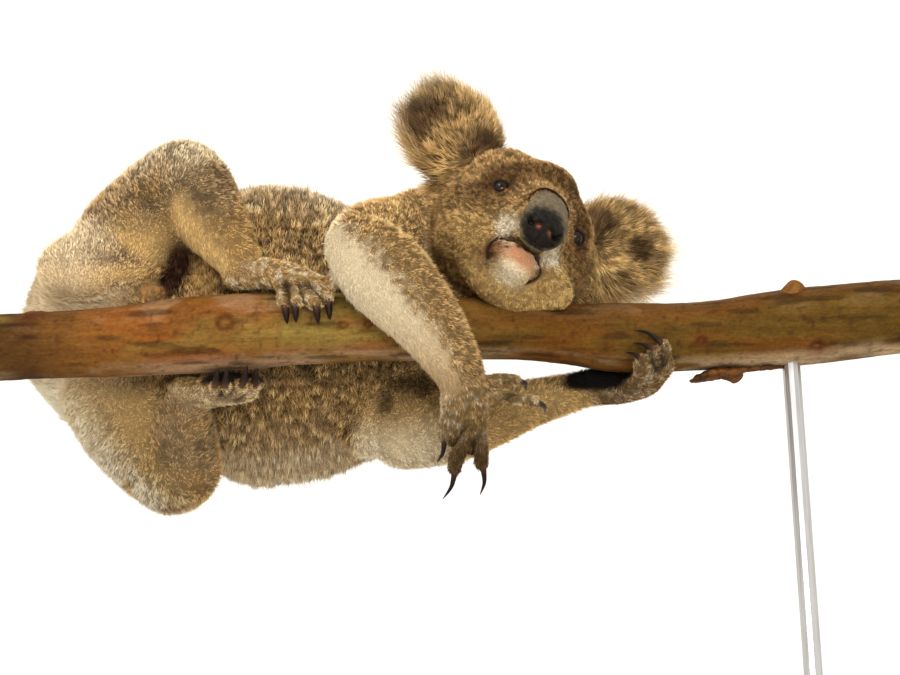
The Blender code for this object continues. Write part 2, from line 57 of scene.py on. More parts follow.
def unit(v):
    """Each vector at a length of 1."""
    return v / np.maximum(np.linalg.norm(v, axis=-1, keepdims=True), 1e-12)


HEAD_CENTRE = np.array((0.0465, 0.0744, -0.030))  # in the perch's frame, as the head's directions are
FORWARD = unit(np.array((0.345, 0.259, 0.902)))
LEFT = unit(np.cross((0.450, 0.798, -0.401), FORWARD))
CROWN = np.cross(FORWARD, LEFT)
HEAD_AXES = np.array((FORWARD, LEFT, CROWN))

# Each eye in head coordinates: 1 is the left and -1 the right
EYES = {1: np.array((0.0356, 0.0322, 0.0083)), -1: np.array((0.0356, -0.0304, 0.0073))}
EYE_LOOKS = {1: unit(np.array((0.960, 0.260, -0.060))), -1: unit(np.array((0.940, -0.310, -0.030)))}
EYE_RADIUS = 0.0085
TROUGH_DEPTHS = {1: 0.0052, -1: 0.0030}  # beside the nose, below each brow
BRANCH = [  # x, y, half height, half depth, as the solid has it
    (-0.350, -0.008, 0.024, 0.024),
    (-0.254, -0.004, 0.025, 0.025),
    (-0.181, 0.002, 0.028, 0.027),
    (-0.109, 0.006, 0.026, 0.026),
    (-0.036, 0.007, 0.024, 0.025),
    (0.036, 0.006, 0.022, 0.023),
    (0.080, 0.003, 0.022, 0.023),
    (0.123, 0.000, 0.025, 0.026),
    (0.181, 0.001, 0.025, 0.025),
    (0.254, 0.008, 0.028, 0.027),
    (0.352, 0.018, 0.026, 0.026),
]

# For each region: depth of coat, hair length, hair width (mm), tufts per square mm, lift (degrees)
COAT = {
    "trunk": (5.5, 8.6, 0.88, 0.66, 60),
    "neck": (4.8, 7.6, 0.86, 0.70, 58),
    "thigh": (3.8, 5.2, 0.74, 0.90, 66),
    "shin": (3.2, 4.4, 0.70, 0.95, 62),
    "upper_arm": (3.8, 5.2, 0.74, 0.90, 66),
    "forearm": (3.2, 4.4, 0.70, 1.00, 64),
    "head": (2.8, 3.8, 0.62, 1.35, 56),
    "jaw": (1.4, 2.0, 0.45, 2.00, 32),
    "ear": (6.0, 12.0, 0.43, 1.30, 38),
    "hand": (1.7, 2.8, 0.54, 1.45, 44),
    "foot": (1.7, 3.2, 0.56, 1.45, 46),
}
FACE_COAT = (2.0, 2.1, 0.43, 2.80, 46)
POUCH_COAT = (0.6, 3.0, 0.6, 1.4, 30)

# Where the hair of a region points, in the perch's frame
FLOW = {
    "thigh_right": (0.30, 0.72, 0.35),
    "shin_right": (0.55, -0.78, 0.30),
    "thigh_left": (0.30, -0.72, 0.35),
    "shin_left": (0.10, 0.85, 0.30),
    "upper_arm_right": (-0.45, 0.10, 0.88),
    "forearm_right": (0.60, -0.78, 0.20),
    "upper_arm_left": (-0.15, -0.90, 0.35),
    "forearm_left": (0.96, 0.25, 0.10),
    "hand_right": (0.15, -0.95, -0.10),
    "hand_left": (0.45, 0.60, 0.55),
    "foot_right": (0.60, -0.45, 0.60),
    "foot_left": (0.55, 0.35, 0.60),
}
BACK_FLOW = (-0.9, 0.25, -0.1)  # over the back and the rump


# ---------------------------------------------------------------- numbers, frames and noise


def to_world(points):
    """Perch coordinates to the model's own frame."""
    return PERCH + points @ TURN.T


def to_perch(points):
    """The model's own frame to perch coordinates."""
    return (points - PERCH) @ TURN


def to_head(points):
    """Perch coordinates to the head's own: forward, left, crown."""
    return (points - HEAD_CENTRE) @ HEAD_AXES.T


def from_head(points):
    """The head's own coordinates to the perch's."""
    return HEAD_CENTRE + points @ HEAD_AXES


def ease(x, low, high):
    """0 at low, 1 at high and eased between, whichever is larger."""
    t = np.clip((x - low) / (high - low), 0, 1)
    return t * t * (3 - 2 * t)


def dot(a, b):
    """The dot product of each pair of vectors."""
    return (a * b).sum(-1)


def along_skin(v, normals):
    """The part of each vector that lies along the surface."""
    return v - normals * dot(v, normals)[:, None]


def clamp(x):
    """Kept between 0 and 1."""
    return np.clip(x, 0, 1)


def circle(count):
    """The angles of evenly spaced points round a circle."""
    return np.linspace(0, 2 * np.pi, count, endpoint=False)


def srgb(r, g, b):
    """A colour given from 0 to 255, as linear light."""
    c = np.array((r, g, b)) / 255
    return np.where(c <= 0.04045, c / 12.92, ((c + 0.055) / 1.055) ** 2.4)


def mix(a, b, share):
    """Colours a to b by a share for each point."""
    return a + (b - a) * np.asarray(share)[..., None]


def lattice(cell, seed):
    """A repeatable number from 0 to 1 for each whole-number cell."""
    q = cell.astype(np.int64)
    h = (q[..., 0] * 73856093) ^ (q[..., 1] * 19349663) ^ (q[..., 2] * 83492791) ^ (seed * 40503 + 977)
    h = ((h ^ (h >> 13)) * 1274126177) & 0xFFFFFFFF
    h = ((h ^ (h >> 16)) * 668265263) & 0xFFFFFFFF
    return (h ^ (h >> 15)) / 4294967295


def noise(points, size, seed, octaves=1):
    """Smooth noise from 0 to 1, with features of about that size in metres."""
    total, weight = 0.0, 0.0
    for octave in range(octaves):
        q = points / (size / 2**octave)
        base = np.floor(q)
        f = q - base
        f = f * f * (3 - 2 * f)
        value = 0.0
        for corner in np.ndindex(2, 2, 2):
            share = 1.0
            for axis, far in enumerate(corner):
                share = share * (f[..., axis] if far else 1 - f[..., axis])
            value = value + share * lattice(base + corner, seed + 31 * octave)
        total, weight = total + value * 0.5**octave, weight + 0.5**octave
    return total / weight


def blotches(points, size, seed, low, high, octaves=2):
    """Patches of noise with soft edges: 1 inside them, and 0 between."""
    return ease(noise(points, size, seed, octaves), low, high)


def locks(points, size, seed):
    """The centre and a random number of the lock of hair that each point belongs to."""
    base = np.floor(points / size)
    best = np.full(len(points), np.inf)
    centre, chance = np.zeros_like(points), np.zeros(len(points))
    for step in np.ndindex(3, 3, 3):
        cell = base + np.array(step) - 1
        jitter = np.stack([lattice(cell, seed + k) for k in (1, 2, 3)], -1)
        middle = (cell + jitter) * size
        away = ((points - middle) ** 2).sum(-1)
        nearer = away < best
        best = np.where(nearer, away, best)
        centre = np.where(nearer[:, None], middle, centre)
        chance = np.where(nearer, lattice(cell, seed + 4), chance)
    return centre, chance


# ---------------------------------------------------------------- meshes


def placed(name, data):
    """A new object, in the scene."""
    obj = bpy.data.objects.new(name, data)
    scene.collection.objects.link(obj)
    return obj


def build(name, points, faces, tint=None, smooth=True):
    """An object from arrays: points in the model's frame, and faces that all have as many corners."""
    mesh = bpy.data.meshes.new(name)
    mesh.vertices.add(len(points))
    mesh.vertices.foreach_set("co", np.ascontiguousarray(points, np.float32).ravel())
    count, size = faces.shape
    mesh.loops.add(count * size)
    mesh.loops.foreach_set("vertex_index", np.ascontiguousarray(faces, np.int32).ravel())
    mesh.polygons.add(count)
    mesh.polygons.foreach_set("loop_start", np.arange(0, count * size, size, dtype=np.int32))
    mesh.update(calc_edges=True)
    if smooth:
        mesh.shade_smooth()
    if tint is not None:
        paint(mesh, tint)
    return placed(name, mesh)


def paint(mesh, tint, rough=None):
    """A colour for each vertex, which the material reads as tint, with a roughness as its alpha."""
    layer = mesh.color_attributes.new("tint", "FLOAT_COLOR", "POINT")
    alpha = np.ones(len(tint)) if rough is None else rough
    layer.data.foreach_set("color", np.column_stack((tint, alpha)).astype(np.float32).ravel())


def arrays(mesh):
    """A mesh's points and triangles."""
    points = np.empty(len(mesh.vertices) * 3, np.float32)
    mesh.vertices.foreach_get("co", points)
    mesh.calc_loop_triangles()
    triangles = np.empty(len(mesh.loop_triangles) * 3, np.int32)
    mesh.loop_triangles.foreach_get("vertices", triangles)
    return points.reshape(-1, 3).astype(float), triangles.reshape(-1, 3)


def edges_of(mesh):
    """Each edge's two vertices."""
    edges = np.empty(len(mesh.edges) * 2, np.int32)
    mesh.edges.foreach_get("vertices", edges)
    return edges.reshape(-1, 2)


def search_tree(points, triangles):
    """What finds the nearest place on a surface."""
    return BVHTree.FromPolygons([Vector(p) for p in points], triangles.tolist())


def normals_of(points, triangles):
    """The normal at each point, over the triangles round it by their area."""
    a, b, c = (points[triangles[:, k]] for k in range(3))
    face = np.cross(b - a, c - a)
    total = np.zeros_like(points)
    for k in range(3):
        for axis in range(3):
            total[:, axis] += np.bincount(triangles[:, k], face[:, axis], len(points))
    return unit(total)


def relaxed(values, edges, times, strength=0.5):
    """Values at a mesh's points, each drawn times over towards the mean of its neighbours."""
    flat = values.reshape(len(values), -1).astype(float)
    count = np.bincount(edges.ravel(), minlength=len(flat))[:, None]
    strength = np.broadcast_to(np.asarray(strength, float).reshape(-1, 1), (len(flat), 1))
    for _ in range(times):
        total = np.empty_like(flat)
        for k in range(flat.shape[1]):
            total[:, k] = np.bincount(edges[:, 0], flat[edges[:, 1], k], len(flat))
            total[:, k] += np.bincount(edges[:, 1], flat[edges[:, 0], k], len(flat))
        flat = flat + strength * (total / np.maximum(count, 1) - flat)
    return flat.reshape(values.shape)


def remeshed(points, faces, voxel):
    """One closed, even surface round everything in the arrays, as a mesh."""
    work = build("work", points, faces, smooth=False)
    step = work.modifiers.new("remesh", "REMESH")
    step.mode, step.voxel_size, step.adaptivity = "VOXEL", voxel, 0
    graph = bpy.context.evaluated_depsgraph_get()
    made = bpy.data.meshes.new_from_object(work.evaluated_get(graph))
    old = work.data
    bpy.data.objects.remove(work)
    bpy.data.meshes.remove(old)
    return made


def through(keys, at):
    """Rows on a smooth curve through the key rows, at places counted in keys."""
    keys = np.asarray(keys, float)
    i = np.clip(np.floor(at).astype(int), 0, len(keys) - 2)
    t = (at - i)[:, None]
    a, b, c, d = (keys[np.clip(i + n, 0, len(keys) - 1)] for n in (-1, 0, 1, 2))
    return b + 0.5 * t * (c - a + t * (2 * a - 5 * b + 4 * c - d + t * (3 * (b - c) + d - a)))


def tube(centres, sides, halves, front, back=None):
    """Rings of points round a curve: an array (rings, sides, 3).

    halves is (rings, 2): half the side width and half the front depth; back is the depth behind.
    """
    along = unit(np.gradient(centres, axis=0))
    front = np.broadcast_to(np.asarray(front, float), along.shape)
    forward = unit(front - along * dot(front, along)[:, None])
    side = np.cross(along, forward)
    angle = circle(sides)
    c, s = np.cos(angle)[None, :, None], np.sin(angle)[None, :, None]
    depth = halves[:, 1:2] if back is None else np.where(s[..., 0] > 0, halves[:, 1:2], back[:, None])
    depth = np.broadcast_to(depth, (len(centres), sides))
    return (
        centres[:, None]
        + side[:, None] * c * halves[:, 0][:, None, None]
        + forward[:, None] * s * depth[..., None]
    )


def grid_faces(rings, sides):
    """Triangles over rings of points, with a pole added past each end (the last two points)."""
    r, s = np.meshgrid(np.arange(rings - 1), np.arange(sides), indexing="ij")
    a, b = r * sides + s, r * sides + (s + 1) % sides
    c, d = b + sides, a + sides
    body = np.concatenate([np.stack([a, b, c], -1).reshape(-1, 3), np.stack([a, c, d], -1).reshape(-1, 3)])
    here = np.arange(sides)
    after = (here + 1) % sides
    top = (rings - 1) * sides
    first, last = rings * sides, rings * sides + 1
    low = np.stack([after, here, np.full(sides, first)], -1)
    high = np.stack([top + here, top + after, np.full(sides, last)], -1)
    return np.concatenate([body, low, high])


def capped(grid, first, last):
    """Rings of points closed with two poles, as points and triangles."""
    return np.concatenate([grid.reshape(-1, 3), [first, last]]), grid_faces(*grid.shape[:2])


def outward(obj):
    """Turns a closed piece's faces outward."""
    bm = bmesh.new()
    bm.from_mesh(obj.data)
    bmesh.ops.recalc_face_normals(bm, faces=bm.faces)
    bm.to_mesh(obj.data)
    bm.free()


# ---------------------------------------------------------------- materials


def shader_nodes(name, roughness, **sockets):
    """A new material, its node tree's nodes and links, and its Principled shader."""
    made = bpy.data.materials.new(name)
    made.use_nodes = True
    tree = made.node_tree
    shader = tree.nodes["Principled BSDF"]
    shader.inputs["Roughness"].default_value = roughness
    for socket, value in sockets.items():
        shader.inputs[socket.replace("_", " ")].default_value = value
    return made, tree, shader


def add(tree, kind, **settings):
    """A node with its properties, or its inputs by name, set."""
    node = tree.nodes.new(kind)
    for key, value in settings.items():
        if hasattr(node, key):
            setattr(node, key, value)
        else:
            node.inputs[key.replace("_", " ")].default_value = value
    return node


def bump(tree, shader, height, distance):
    """Bumps of that height, in metres, in the shader's surface."""
    node = add(tree, "ShaderNodeBump", Strength=1.0, Distance=distance)
    tree.links.new(height, node.inputs["Height"])
    tree.links.new(node.outputs["Normal"], shader.inputs["Normal"])


def ramp(tree, value, stops):
    """Colours along a value: stops are (place, colour)."""
    node = tree.nodes.new("ShaderNodeValToRGB")
    elements = node.color_ramp.elements
    while len(elements) < len(stops):
        elements.new(0.5)
    for element, (place, colour) in zip(elements, stops):
        element.position = place
        element.color = (*colour, 1)
    tree.links.new(value, node.inputs["Fac"])
    return node.outputs["Color"]


def texture(tree, kind, scale, stretch=(1, 1, 1), **settings):
    """A texture over the piece's own coordinates, stretched along its axes."""
    place = tree.nodes.new("ShaderNodeTexCoord")
    mapping = tree.nodes.new("ShaderNodeMapping")
    mapping.inputs["Scale"].default_value = stretch
    tree.links.new(place.outputs["Object"], mapping.inputs["Vector"])
    node = add(tree, kind, Scale=scale, **settings)
    tree.links.new(mapping.outputs["Vector"], node.inputs["Vector"])
    return node


def blended(tree, a, b):
    """One colour socket multiplied by another."""
    node = add(tree, "ShaderNodeMix", data_type="RGBA", blend_type="MULTIPLY")
    share, first, second = node.inputs[0], node.inputs[6], node.inputs[7]
    share.default_value = 1.0
    tree.links.new(a, first)
    tree.links.new(b, second)
    return node.outputs[2]


def tinted(name, roughness, grain=0.0, depth=0.0, **sockets):
    """A material that shows the piece's own tint, with a fine grain of bumps where wanted.

    Without a roughness, it takes that from the tint's alpha.
    """
    made, tree, shader = shader_nodes(name, roughness or 0.5, **sockets)
    tint = add(tree, "ShaderNodeAttribute", attribute_name="tint")
    tree.links.new(tint.outputs["Color"], shader.inputs["Base Color"])
    if roughness is None:
        tree.links.new(tint.outputs["Alpha"], shader.inputs["Roughness"])
    if grain:
        grains = texture(tree, "ShaderNodeTexNoise", grain, Detail=3.0)
        bump(tree, shader, grains.outputs["Fac"], depth)
    return made


def wear(obj, material):
    """Gives an object its one material."""
    obj.data.materials.clear()
    obj.data.materials.append(material)


def finished(obj, material, slot, *solids):
    """A finished piece: its material, its body and the solids that it stands for. The slot is not used."""
    wear(obj, material)
    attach(obj, "root")
    if solids:
        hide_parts(*solids)


def closed_piece(name, points, faces, tint, material, slot, *solids):
    """A finished piece from arrays, with its faces turned outward."""
    obj = build(name, points, faces, tint)
    outward(obj)
    finished(obj, material, slot, *solids)


CAP_ANGLES = np.radians((82, 68, 52, 36, 18))  # of the rings that round off an end, the outermost first


def swept(stations, per, sides, front, caps=(1.0, 1.0)):
    """A closed, finely divided sweep. A station is (x, y, z, half side, half front, half back)."""
    rows = through(stations, np.linspace(0, len(stations) - 1, per * (len(stations) - 1) + 1))
    centres, sizes = rows[:, :3], rows[:, 3:]
    along = unit(np.gradient(centres, axis=0))
    parts, scales, poles = [], [], []
    for end, sign, cap in ((0, -1, caps[0]), (-1, 1, caps[1])):
        size = sizes[end].min() * cap
        order = CAP_ANGLES if sign < 0 else CAP_ANGLES[::-1]
        parts.append(centres[end] + sign * along[end] * size * np.sin(order)[:, None])
        scales.append(sizes[end] * np.cos(order)[:, None])
        poles.append(centres[end] + sign * along[end] * size)
    centres = np.concatenate([parts[0], centres, parts[1]])
    sizes = np.concatenate([scales[0], sizes, scales[1]])
    return capped(tube(centres, sides, sizes[:, :2], front, sizes[:, 2]), *poles)


# ---------------------------------------------------------------- the skin

FLESH = [name for name in nodes if not name.startswith(("claw", "branch", "stand", "eye", "nose"))]
CLAWS = [name for name in nodes if name.startswith("claw")]
FIRST_VOXEL, SKIN_VOXEL, UNWRAP_VOXEL = 0.0017, 0.00248, 0.006  # of the flesh, the skin and its unwrap
SMOOTHING = {"hand": 0.10, "foot": 0.10, "ear": 0.42, "jaw": 0.42, "head": 0.42}  # elsewhere it is more


def kind(name):
    """A node's region, without its side."""
    return name.removesuffix("_left").removesuffix("_right")


def gathered(names, swell):
    """The points and triangles of several solids, swollen a little so that they meet, and their owners."""
    points, triangles, owners, start = [], [], [], 0
    for index, name in enumerate(names):
        p, t = arrays(nodes[name].data)
        points.append(p + normals_of(p, t) * swell)
        triangles.append(t + start)
        owners.append(np.full(len(t), index))
        start += len(p)
    return np.concatenate(points), np.concatenate(triangles), np.concatenate(owners)


solid_points, solid_triangles, solid_owner = gathered(FLESH, 0.0)
solid_tree = search_tree(solid_points, solid_triangles)


def owners_of(points):
    """The index in FLESH of the solid that each point lies nearest to."""
    return np.array([solid_owner[solid_tree.find_nearest(Vector(p))[2]] for p in points])


def face_share(head):
    """How far a point in head coordinates belongs to the short-haired face."""
    return ease(head[:, 0], 0.022, 0.046)


def coat_sizes(points, owner):
    """For each point: depth of coat, hair length, hair width, density and lift, in metres and radians."""
    table = np.array([COAT[kind(name)] for name in FLESH])[owner]
    is_head = np.array([kind(name) == "head" for name in FLESH])[owner]
    table = mix(table, np.array(FACE_COAT), face_share(to_head(to_perch(points))) * is_head)
    table = mix(table, np.array(POUCH_COAT), ease(pouch(points), 0.2, 0.5))
    return table * (0.001, 0.001, 0.001, 1e6, math.pi / 180)


POUCH = np.array((-0.2215, 0.0310, -0.0370))  # in the perch's frame
PALM = np.array((0.1080, -0.0310, -0.0130))  # the left one: its black pad under the branch is its bare palm, and painted shade in the gap there
SOLE = np.array((-0.1560, -0.0320, 0.0120))  # the left one: its black pad under the branch is its sole, and painted shade in the gap there


def pouch(world):
    """How far points belong to the scrotum, which has short hair."""
    return np.exp(-1.2 * (((to_perch(world) - POUCH) / (0.014, 0.012, 0.015)) ** 2).sum(1))


FILLS = [  # what fills the hollows between the solids: a centre and three radii, in the perch's frame
    ((-0.018, 0.090, -0.046), (0.034, 0.026, 0.028)),  # the scruff
    (PALM, (0.025, 0.010, 0.014)),
    (SOLE, (0.026, 0.008, 0.012)),
    ((-0.066, -0.060, -0.063), (0.024, 0.036, 0.020)),  # the shoulder
    ((0.0600, 0.1065, -0.0180), (0.037, 0.0265, 0.026)),  # the crown
    ((0.0400, 0.1150, -0.0250), (0.032, 0.0275, 0.024)),  # the temple
    ((0.1110, 0.0390, -0.0490), (0.027, 0.024, 0.012)),  # the left ear's lobe
    ((0.0930, 0.0300, -0.0420), (0.016, 0.012, 0.015)),  # between that lobe and the head
    ((-0.2620, 0.0510, -0.0650), (0.056, 0.036, 0.043)),  # the haunch
]
PADS = [  # the same, in head coordinates
    ((0.024, 0.006, -0.031), (0.026, 0.052, 0.038)),
    ((0.034, 0.026, -0.031), (0.023, 0.020, 0.019)),
    ((0.034, -0.026, -0.031), (0.023, 0.020, 0.019)),
    ((-0.004, 0.046, 0.020), (0.020, 0.014, 0.018)),
    ((-0.004, -0.046, 0.020), (0.020, 0.014, 0.018)),
]
CLAW_SEAT = (0.0056, 0.0056, 0.0056)  # the radii of the toe round a claw's root
CLAW_HALF = (0.0021, 0.0027)  # the least and the most of half a claw's depth
MUZZLE, MUZZLE_REACH = (0.058, 0, -0.014), 0.050  # in head coordinates
GAP_DEPTH = 0.0036  # between two digits


def ball(centre, radii, *frames):
    """A closed ellipsoid, as points and triangles, taken from its own coordinates through the frames."""
    turns, steps = circle(20), np.radians(np.linspace(-81, 81, 12))
    ring = np.stack([np.cos(turns), np.sin(turns), np.zeros(len(turns))], -1)
    grid = ring[None] * np.cos(steps)[:, None, None] + np.array((0, 0, 1)) * np.sin(steps)[:, None, None]
    points, faces = capped(grid, (0, 0, -1), (0, 0, 1))
    points = centre + points * radii
    for frame_of in frames:
        points = frame_of(points)
    return points, faces


def joined(parts):
    """Several closed shapes, each as points and triangles, as one."""
    starts = np.cumsum([0] + [len(points) for points, _ in parts])
    return (
        np.concatenate([points for points, _ in parts]),
        np.concatenate([triangles + start for (_, triangles), start in zip(parts, starts)]),
    )


def skin_mesh():
    """One even skin inside all the solids of flesh, by the depth of the coat."""
    points, triangles, _ = gathered([*FLESH, "nose", "eye_left", "eye_right"], 0.0006)
    soft = [ball(*fill, to_world) for fill in FILLS] + [ball(*pad, from_head, to_world) for pad in PADS]
    soft += [ball(claw_line(name)[0], CLAW_SEAT) for name in CLAWS]
    mesh = remeshed(*joined([(points, triangles), *soft]), FIRST_VOXEL)
    points, triangles = arrays(mesh)
    edges = edges_of(mesh)
    owner = owners_of(points)
    strength = np.array([SMOOTHING.get(kind(name), 0.5) for name in FLESH])[owner]
    strength = np.where(pouch(points) > 0.25, 0.12, strength)
    strength = relaxed(strength, edges, 6)
    depth = relaxed(coat_sizes(points, owner)[:, 0], edges, 14)
    points = relaxed(points, edges, 22, strength)
    normals = unit(relaxed(normals_of(points, triangles), edges, 3))
    mesh = remeshed(points - normals * depth[:, None], triangles, SKIN_VOXEL)
    points, triangles = arrays(mesh)
    moved(mesh, relaxed(points, edges_of(mesh), 3, 0.4))
    return mesh


def moved(mesh, points):
    """Puts a mesh's vertices elsewhere."""
    mesh.vertices.foreach_set("co", points.astype(np.float32).ravel())


def finer_face(mesh):
    """Halves the faces of the muzzle and round the eyes, so that folds can be drawn in them."""
    bm = bmesh.new()
    bm.from_mesh(mesh)
    bm.verts.ensure_lookup_table()
    head = to_head(to_perch(np.array([v.co for v in bm.verts])))
    near = np.linalg.norm(head - MUZZLE, axis=1) < MUZZLE_REACH
    near &= head[:, 0] > 0.026
    edges = [e for e in bm.edges if near[e.verts[0].index] and near[e.verts[1].index]]
    bmesh.ops.subdivide_edges(bm, edges=edges, cuts=1, use_grid_fill=True, smooth=0.0)
    bm.to_mesh(mesh)
    bm.free()


MOUTH = np.array(  # left, crown: the line of the lips, from the right corner over the chin to the left
    (
        (-0.0165, -0.0490),
        (-0.0205, -0.0430),
        (-0.0190, -0.0365),
        (-0.0140, -0.0332),
        (-0.0070, -0.0335),
        (0.0000, -0.0345),
        (0.0070, -0.0335),
        (0.0140, -0.0332),
        (0.0190, -0.0365),
        (0.0205, -0.0430),
        (0.0165, -0.0490),
    )
)


def from_mouth(head):
    """How far points in head coordinates are from the line of the lips, seen from in front."""
    flat = head[:, 1:]
    best = np.full(len(flat), np.inf)
    line = through(MOUTH, np.linspace(0, len(MOUTH) - 1, 61))
    for a, b in zip(line, line[1:]):
        run = b - a
        t = np.clip(((flat - a) @ run) / (run @ run), 0, 1)[:, None]
        best = np.minimum(best, np.linalg.norm(flat - a - t * run, axis=1))
    return best


def below_mouth(head):
    """1 under the line of the lips, and 0 above it."""
    order = np.argsort(MOUTH[:, 0])
    return ease(np.interp(head[:, 1], MOUTH[order, 0], MOUTH[order, 1]) - head[:, 2], 0.0, 0.0012)


def eye_axes(sign):
    """An eye's middle, where it looks, and the directions across and up as it looks out."""
    look = EYE_LOOKS[sign]
    across = unit(np.cross((0, 0, 1), look))
    return EYES[sign], look, across, np.cross(look, across)


def eye_polar(head, sign):
    """Distance from an eye's middle, and the angle and turn away from where it looks."""
    centre, look, across, up = eye_axes(sign)
    away = head - centre
    way = unit(away)
    angle = np.arccos(np.clip(way @ look, -1, 1))
    return np.linalg.norm(away, axis=1), angle, np.arctan2(way @ up, way @ across)


def opening(turn, sign):
    """The eye's opening as an angle from where it looks: longer across than up, pointed at its ends."""
    wide = 1.07 if sign > 0 else 1.0
    return np.radians(25 + 15 * np.abs(np.cos(turn)) ** 1.7 - 4 * np.maximum(np.sin(turn), 0)) * wide


def claw_line(name):
    """Along a claw's solid: a point in the toe, the root, the bend and the tip, and half its depth."""
    points, _ = arrays(nodes[name].data)
    tree = search_tree(*arrays(nodes[name.replace("claw_", "").rsplit("_", 1)[0]].data))
    end = points[np.argmax([tree.find_nearest(Vector(q))[3] for q in points])]
    away = np.linalg.norm(points - end, axis=1)
    root = points[away > away.max() * 0.85].mean(0)
    along = (points - end) @ unit(root - end)
    ring = points[(along > 0.3 * along.max()) & (along < 0.75 * along.max())]
    middle = ring.mean(0)
    half = np.abs((ring - middle) @ unit(middle - (root + end) / 2)).max() / 0.8
    return root + unit(root - middle) * 0.0030, root, middle, end, np.clip(half, *CLAW_HALF)


def between_digits(world):
    """1 halfway between two digits of a paw, and 0 away from there."""
    best = np.zeros(len(world))
    for paw in [n for n in FLESH if kind(n) in ("hand", "foot")]:
        centre = arrays(nodes[paw].data)[0].mean(0)
        gaps, shares = [], []
        for name in [n for n in CLAWS if n.startswith("claw_" + paw)]:
            start = claw_line(name)[0]
            base = mix(centre, start, 0.25)
            run = start - base
            t = ((world - base) @ run) / (run @ run)
            gaps.append(np.linalg.norm(world - base - np.clip(t, 0, 1.3)[:, None] * run, axis=1))
            shares.append(t)
        order = np.argsort(gaps, axis=0)
        first, second = (np.take_along_axis(np.array(gaps), order[k : k + 1], 0)[0] for k in (0, 1))
        along = ease(np.take_along_axis(np.array(shares), order[:1], 0)[0], 0.10, 0.45)
        line = np.exp(-(((second - first) / 0.0022) ** 2)) * along * ease(-second, -0.016, -0.012)
        best = np.maximum(best, line)
    return best


def sculpt(points, triangles):
    """Draws the troughs below the brows, the lids' seats, the lips and the chin into the face, and the gaps
    between the digits into the paws.
    """
    head = to_head(to_perch(points))
    normal = to_head(to_perch(normals_of(points, triangles) + PERCH) + HEAD_CENTRE)
    front = ease(head[:, 0], 0.030, 0.045)
    for sign in (1, -1):
        beside = ((head[:, 1] * sign - 0.0225) / 0.0060) ** 2
        trough = np.exp(-beside - (((head[:, 2] + 0.001) / 0.0100) ** 2))
        head = head - normal * (TROUGH_DEPTHS[sign] * trough * front)[:, None]
        far, angle, turns = eye_polar(head, sign)
        rim = opening(turns, sign)
        seat = EYE_RADIUS + 0.0004 + 0.0016 * ease(angle, rim + 0.15, rim + 0.8)
        seat = np.where(angle < rim + 0.12, EYE_RADIUS * 0.8, seat)
        share = ease(-angle, -1.9, -1.25) * ease(-far, -(EYE_RADIUS + 0.0085), -(EYE_RADIUS + 0.005))
        head = head + unit(head - EYES[sign]) * ((seat - far) * share)[:, None]
    gap = from_mouth(head)
    deep = 0.0026 - 0.0014 * ease(np.abs(head[:, 1]), 0.010, 0.018)
    groove = -deep * np.exp(-((gap / 0.0013) ** 2)) * front
    lip = 0.0010 * np.exp(-(((gap - 0.0032) / 0.0018) ** 2)) * front
    chin = np.exp(-((head[:, 1] / 0.013) ** 2) - (((head[:, 2] + 0.046) / 0.009) ** 2)) * front * 0.0020
    carved = to_world(from_head(head + normal * (groove + lip + chin)[:, None]))
    return carved - normals_of(points, triangles) * (GAP_DEPTH * between_digits(points))[:, None]


skin_data = skin_mesh()
finer_face(skin_data)
skin_points, skin_triangles = arrays(skin_data)
skin_points = sculpt(skin_points, skin_triangles)
moved(skin_data, skin_points)
skin_data.update()
skin_edges = edges_of(skin_data)
skin_normals = normals_of(skin_points, skin_triangles)
skin_owner = owners_of(skin_points)

# Shares of the regions at each point of the skin, eased where they meet
one_hot = np.zeros((len(skin_points), len(FLESH)))
one_hot[np.arange(len(skin_points)), skin_owner] = 1
skin_shares = relaxed(one_hot, skin_edges, 10)
skin_sizes = relaxed(coat_sizes(skin_points, skin_owner), skin_edges, 5)


def flow_field():
    """Which way the hair lies at each point of the skin."""
    perch = to_perch(skin_points)
    head = to_head(perch)
    flow = np.zeros_like(perch)
    for index, name in enumerate(FLESH):
        if name in FLOW:
            way = np.broadcast_to(np.array(FLOW[name]), perch.shape)
        elif name in ("trunk", "neck"):
            up = np.tanh((perch[:, 1] - 0.004) / 0.020)[:, None] * (0, 1, 0) + (0.05, 0, -0.15)
            behind = ease(-skin_normals @ TURN[:, 2], -0.15, 0.55)
            rump = ease(-perch[:, 0], 0.235, 0.300)
            way = mix(up, np.array(BACK_FLOW), np.maximum(behind, rump))
        elif kind(name) == "ear":
            side = 1 if name == "ear_left" else -1
            root = np.array((-0.006, side * 0.058, 0.034))
            way = unit((head - root) * (0.2, 1, 1)) + (0.05, side * 0.30, 0.18)
            way = way @ HEAD_AXES
        else:
            way = unit(head - (0.085, 0, -0.012)) + (-0.25, 0, -0.05)
            way = way @ HEAD_AXES
        flow += skin_shares[:, index : index + 1] * way
    flow = along_skin(flow @ TURN.T, skin_normals)
    return unit(along_skin(relaxed(unit(flow), skin_edges, 12), skin_normals))


skin_flow = flow_field()
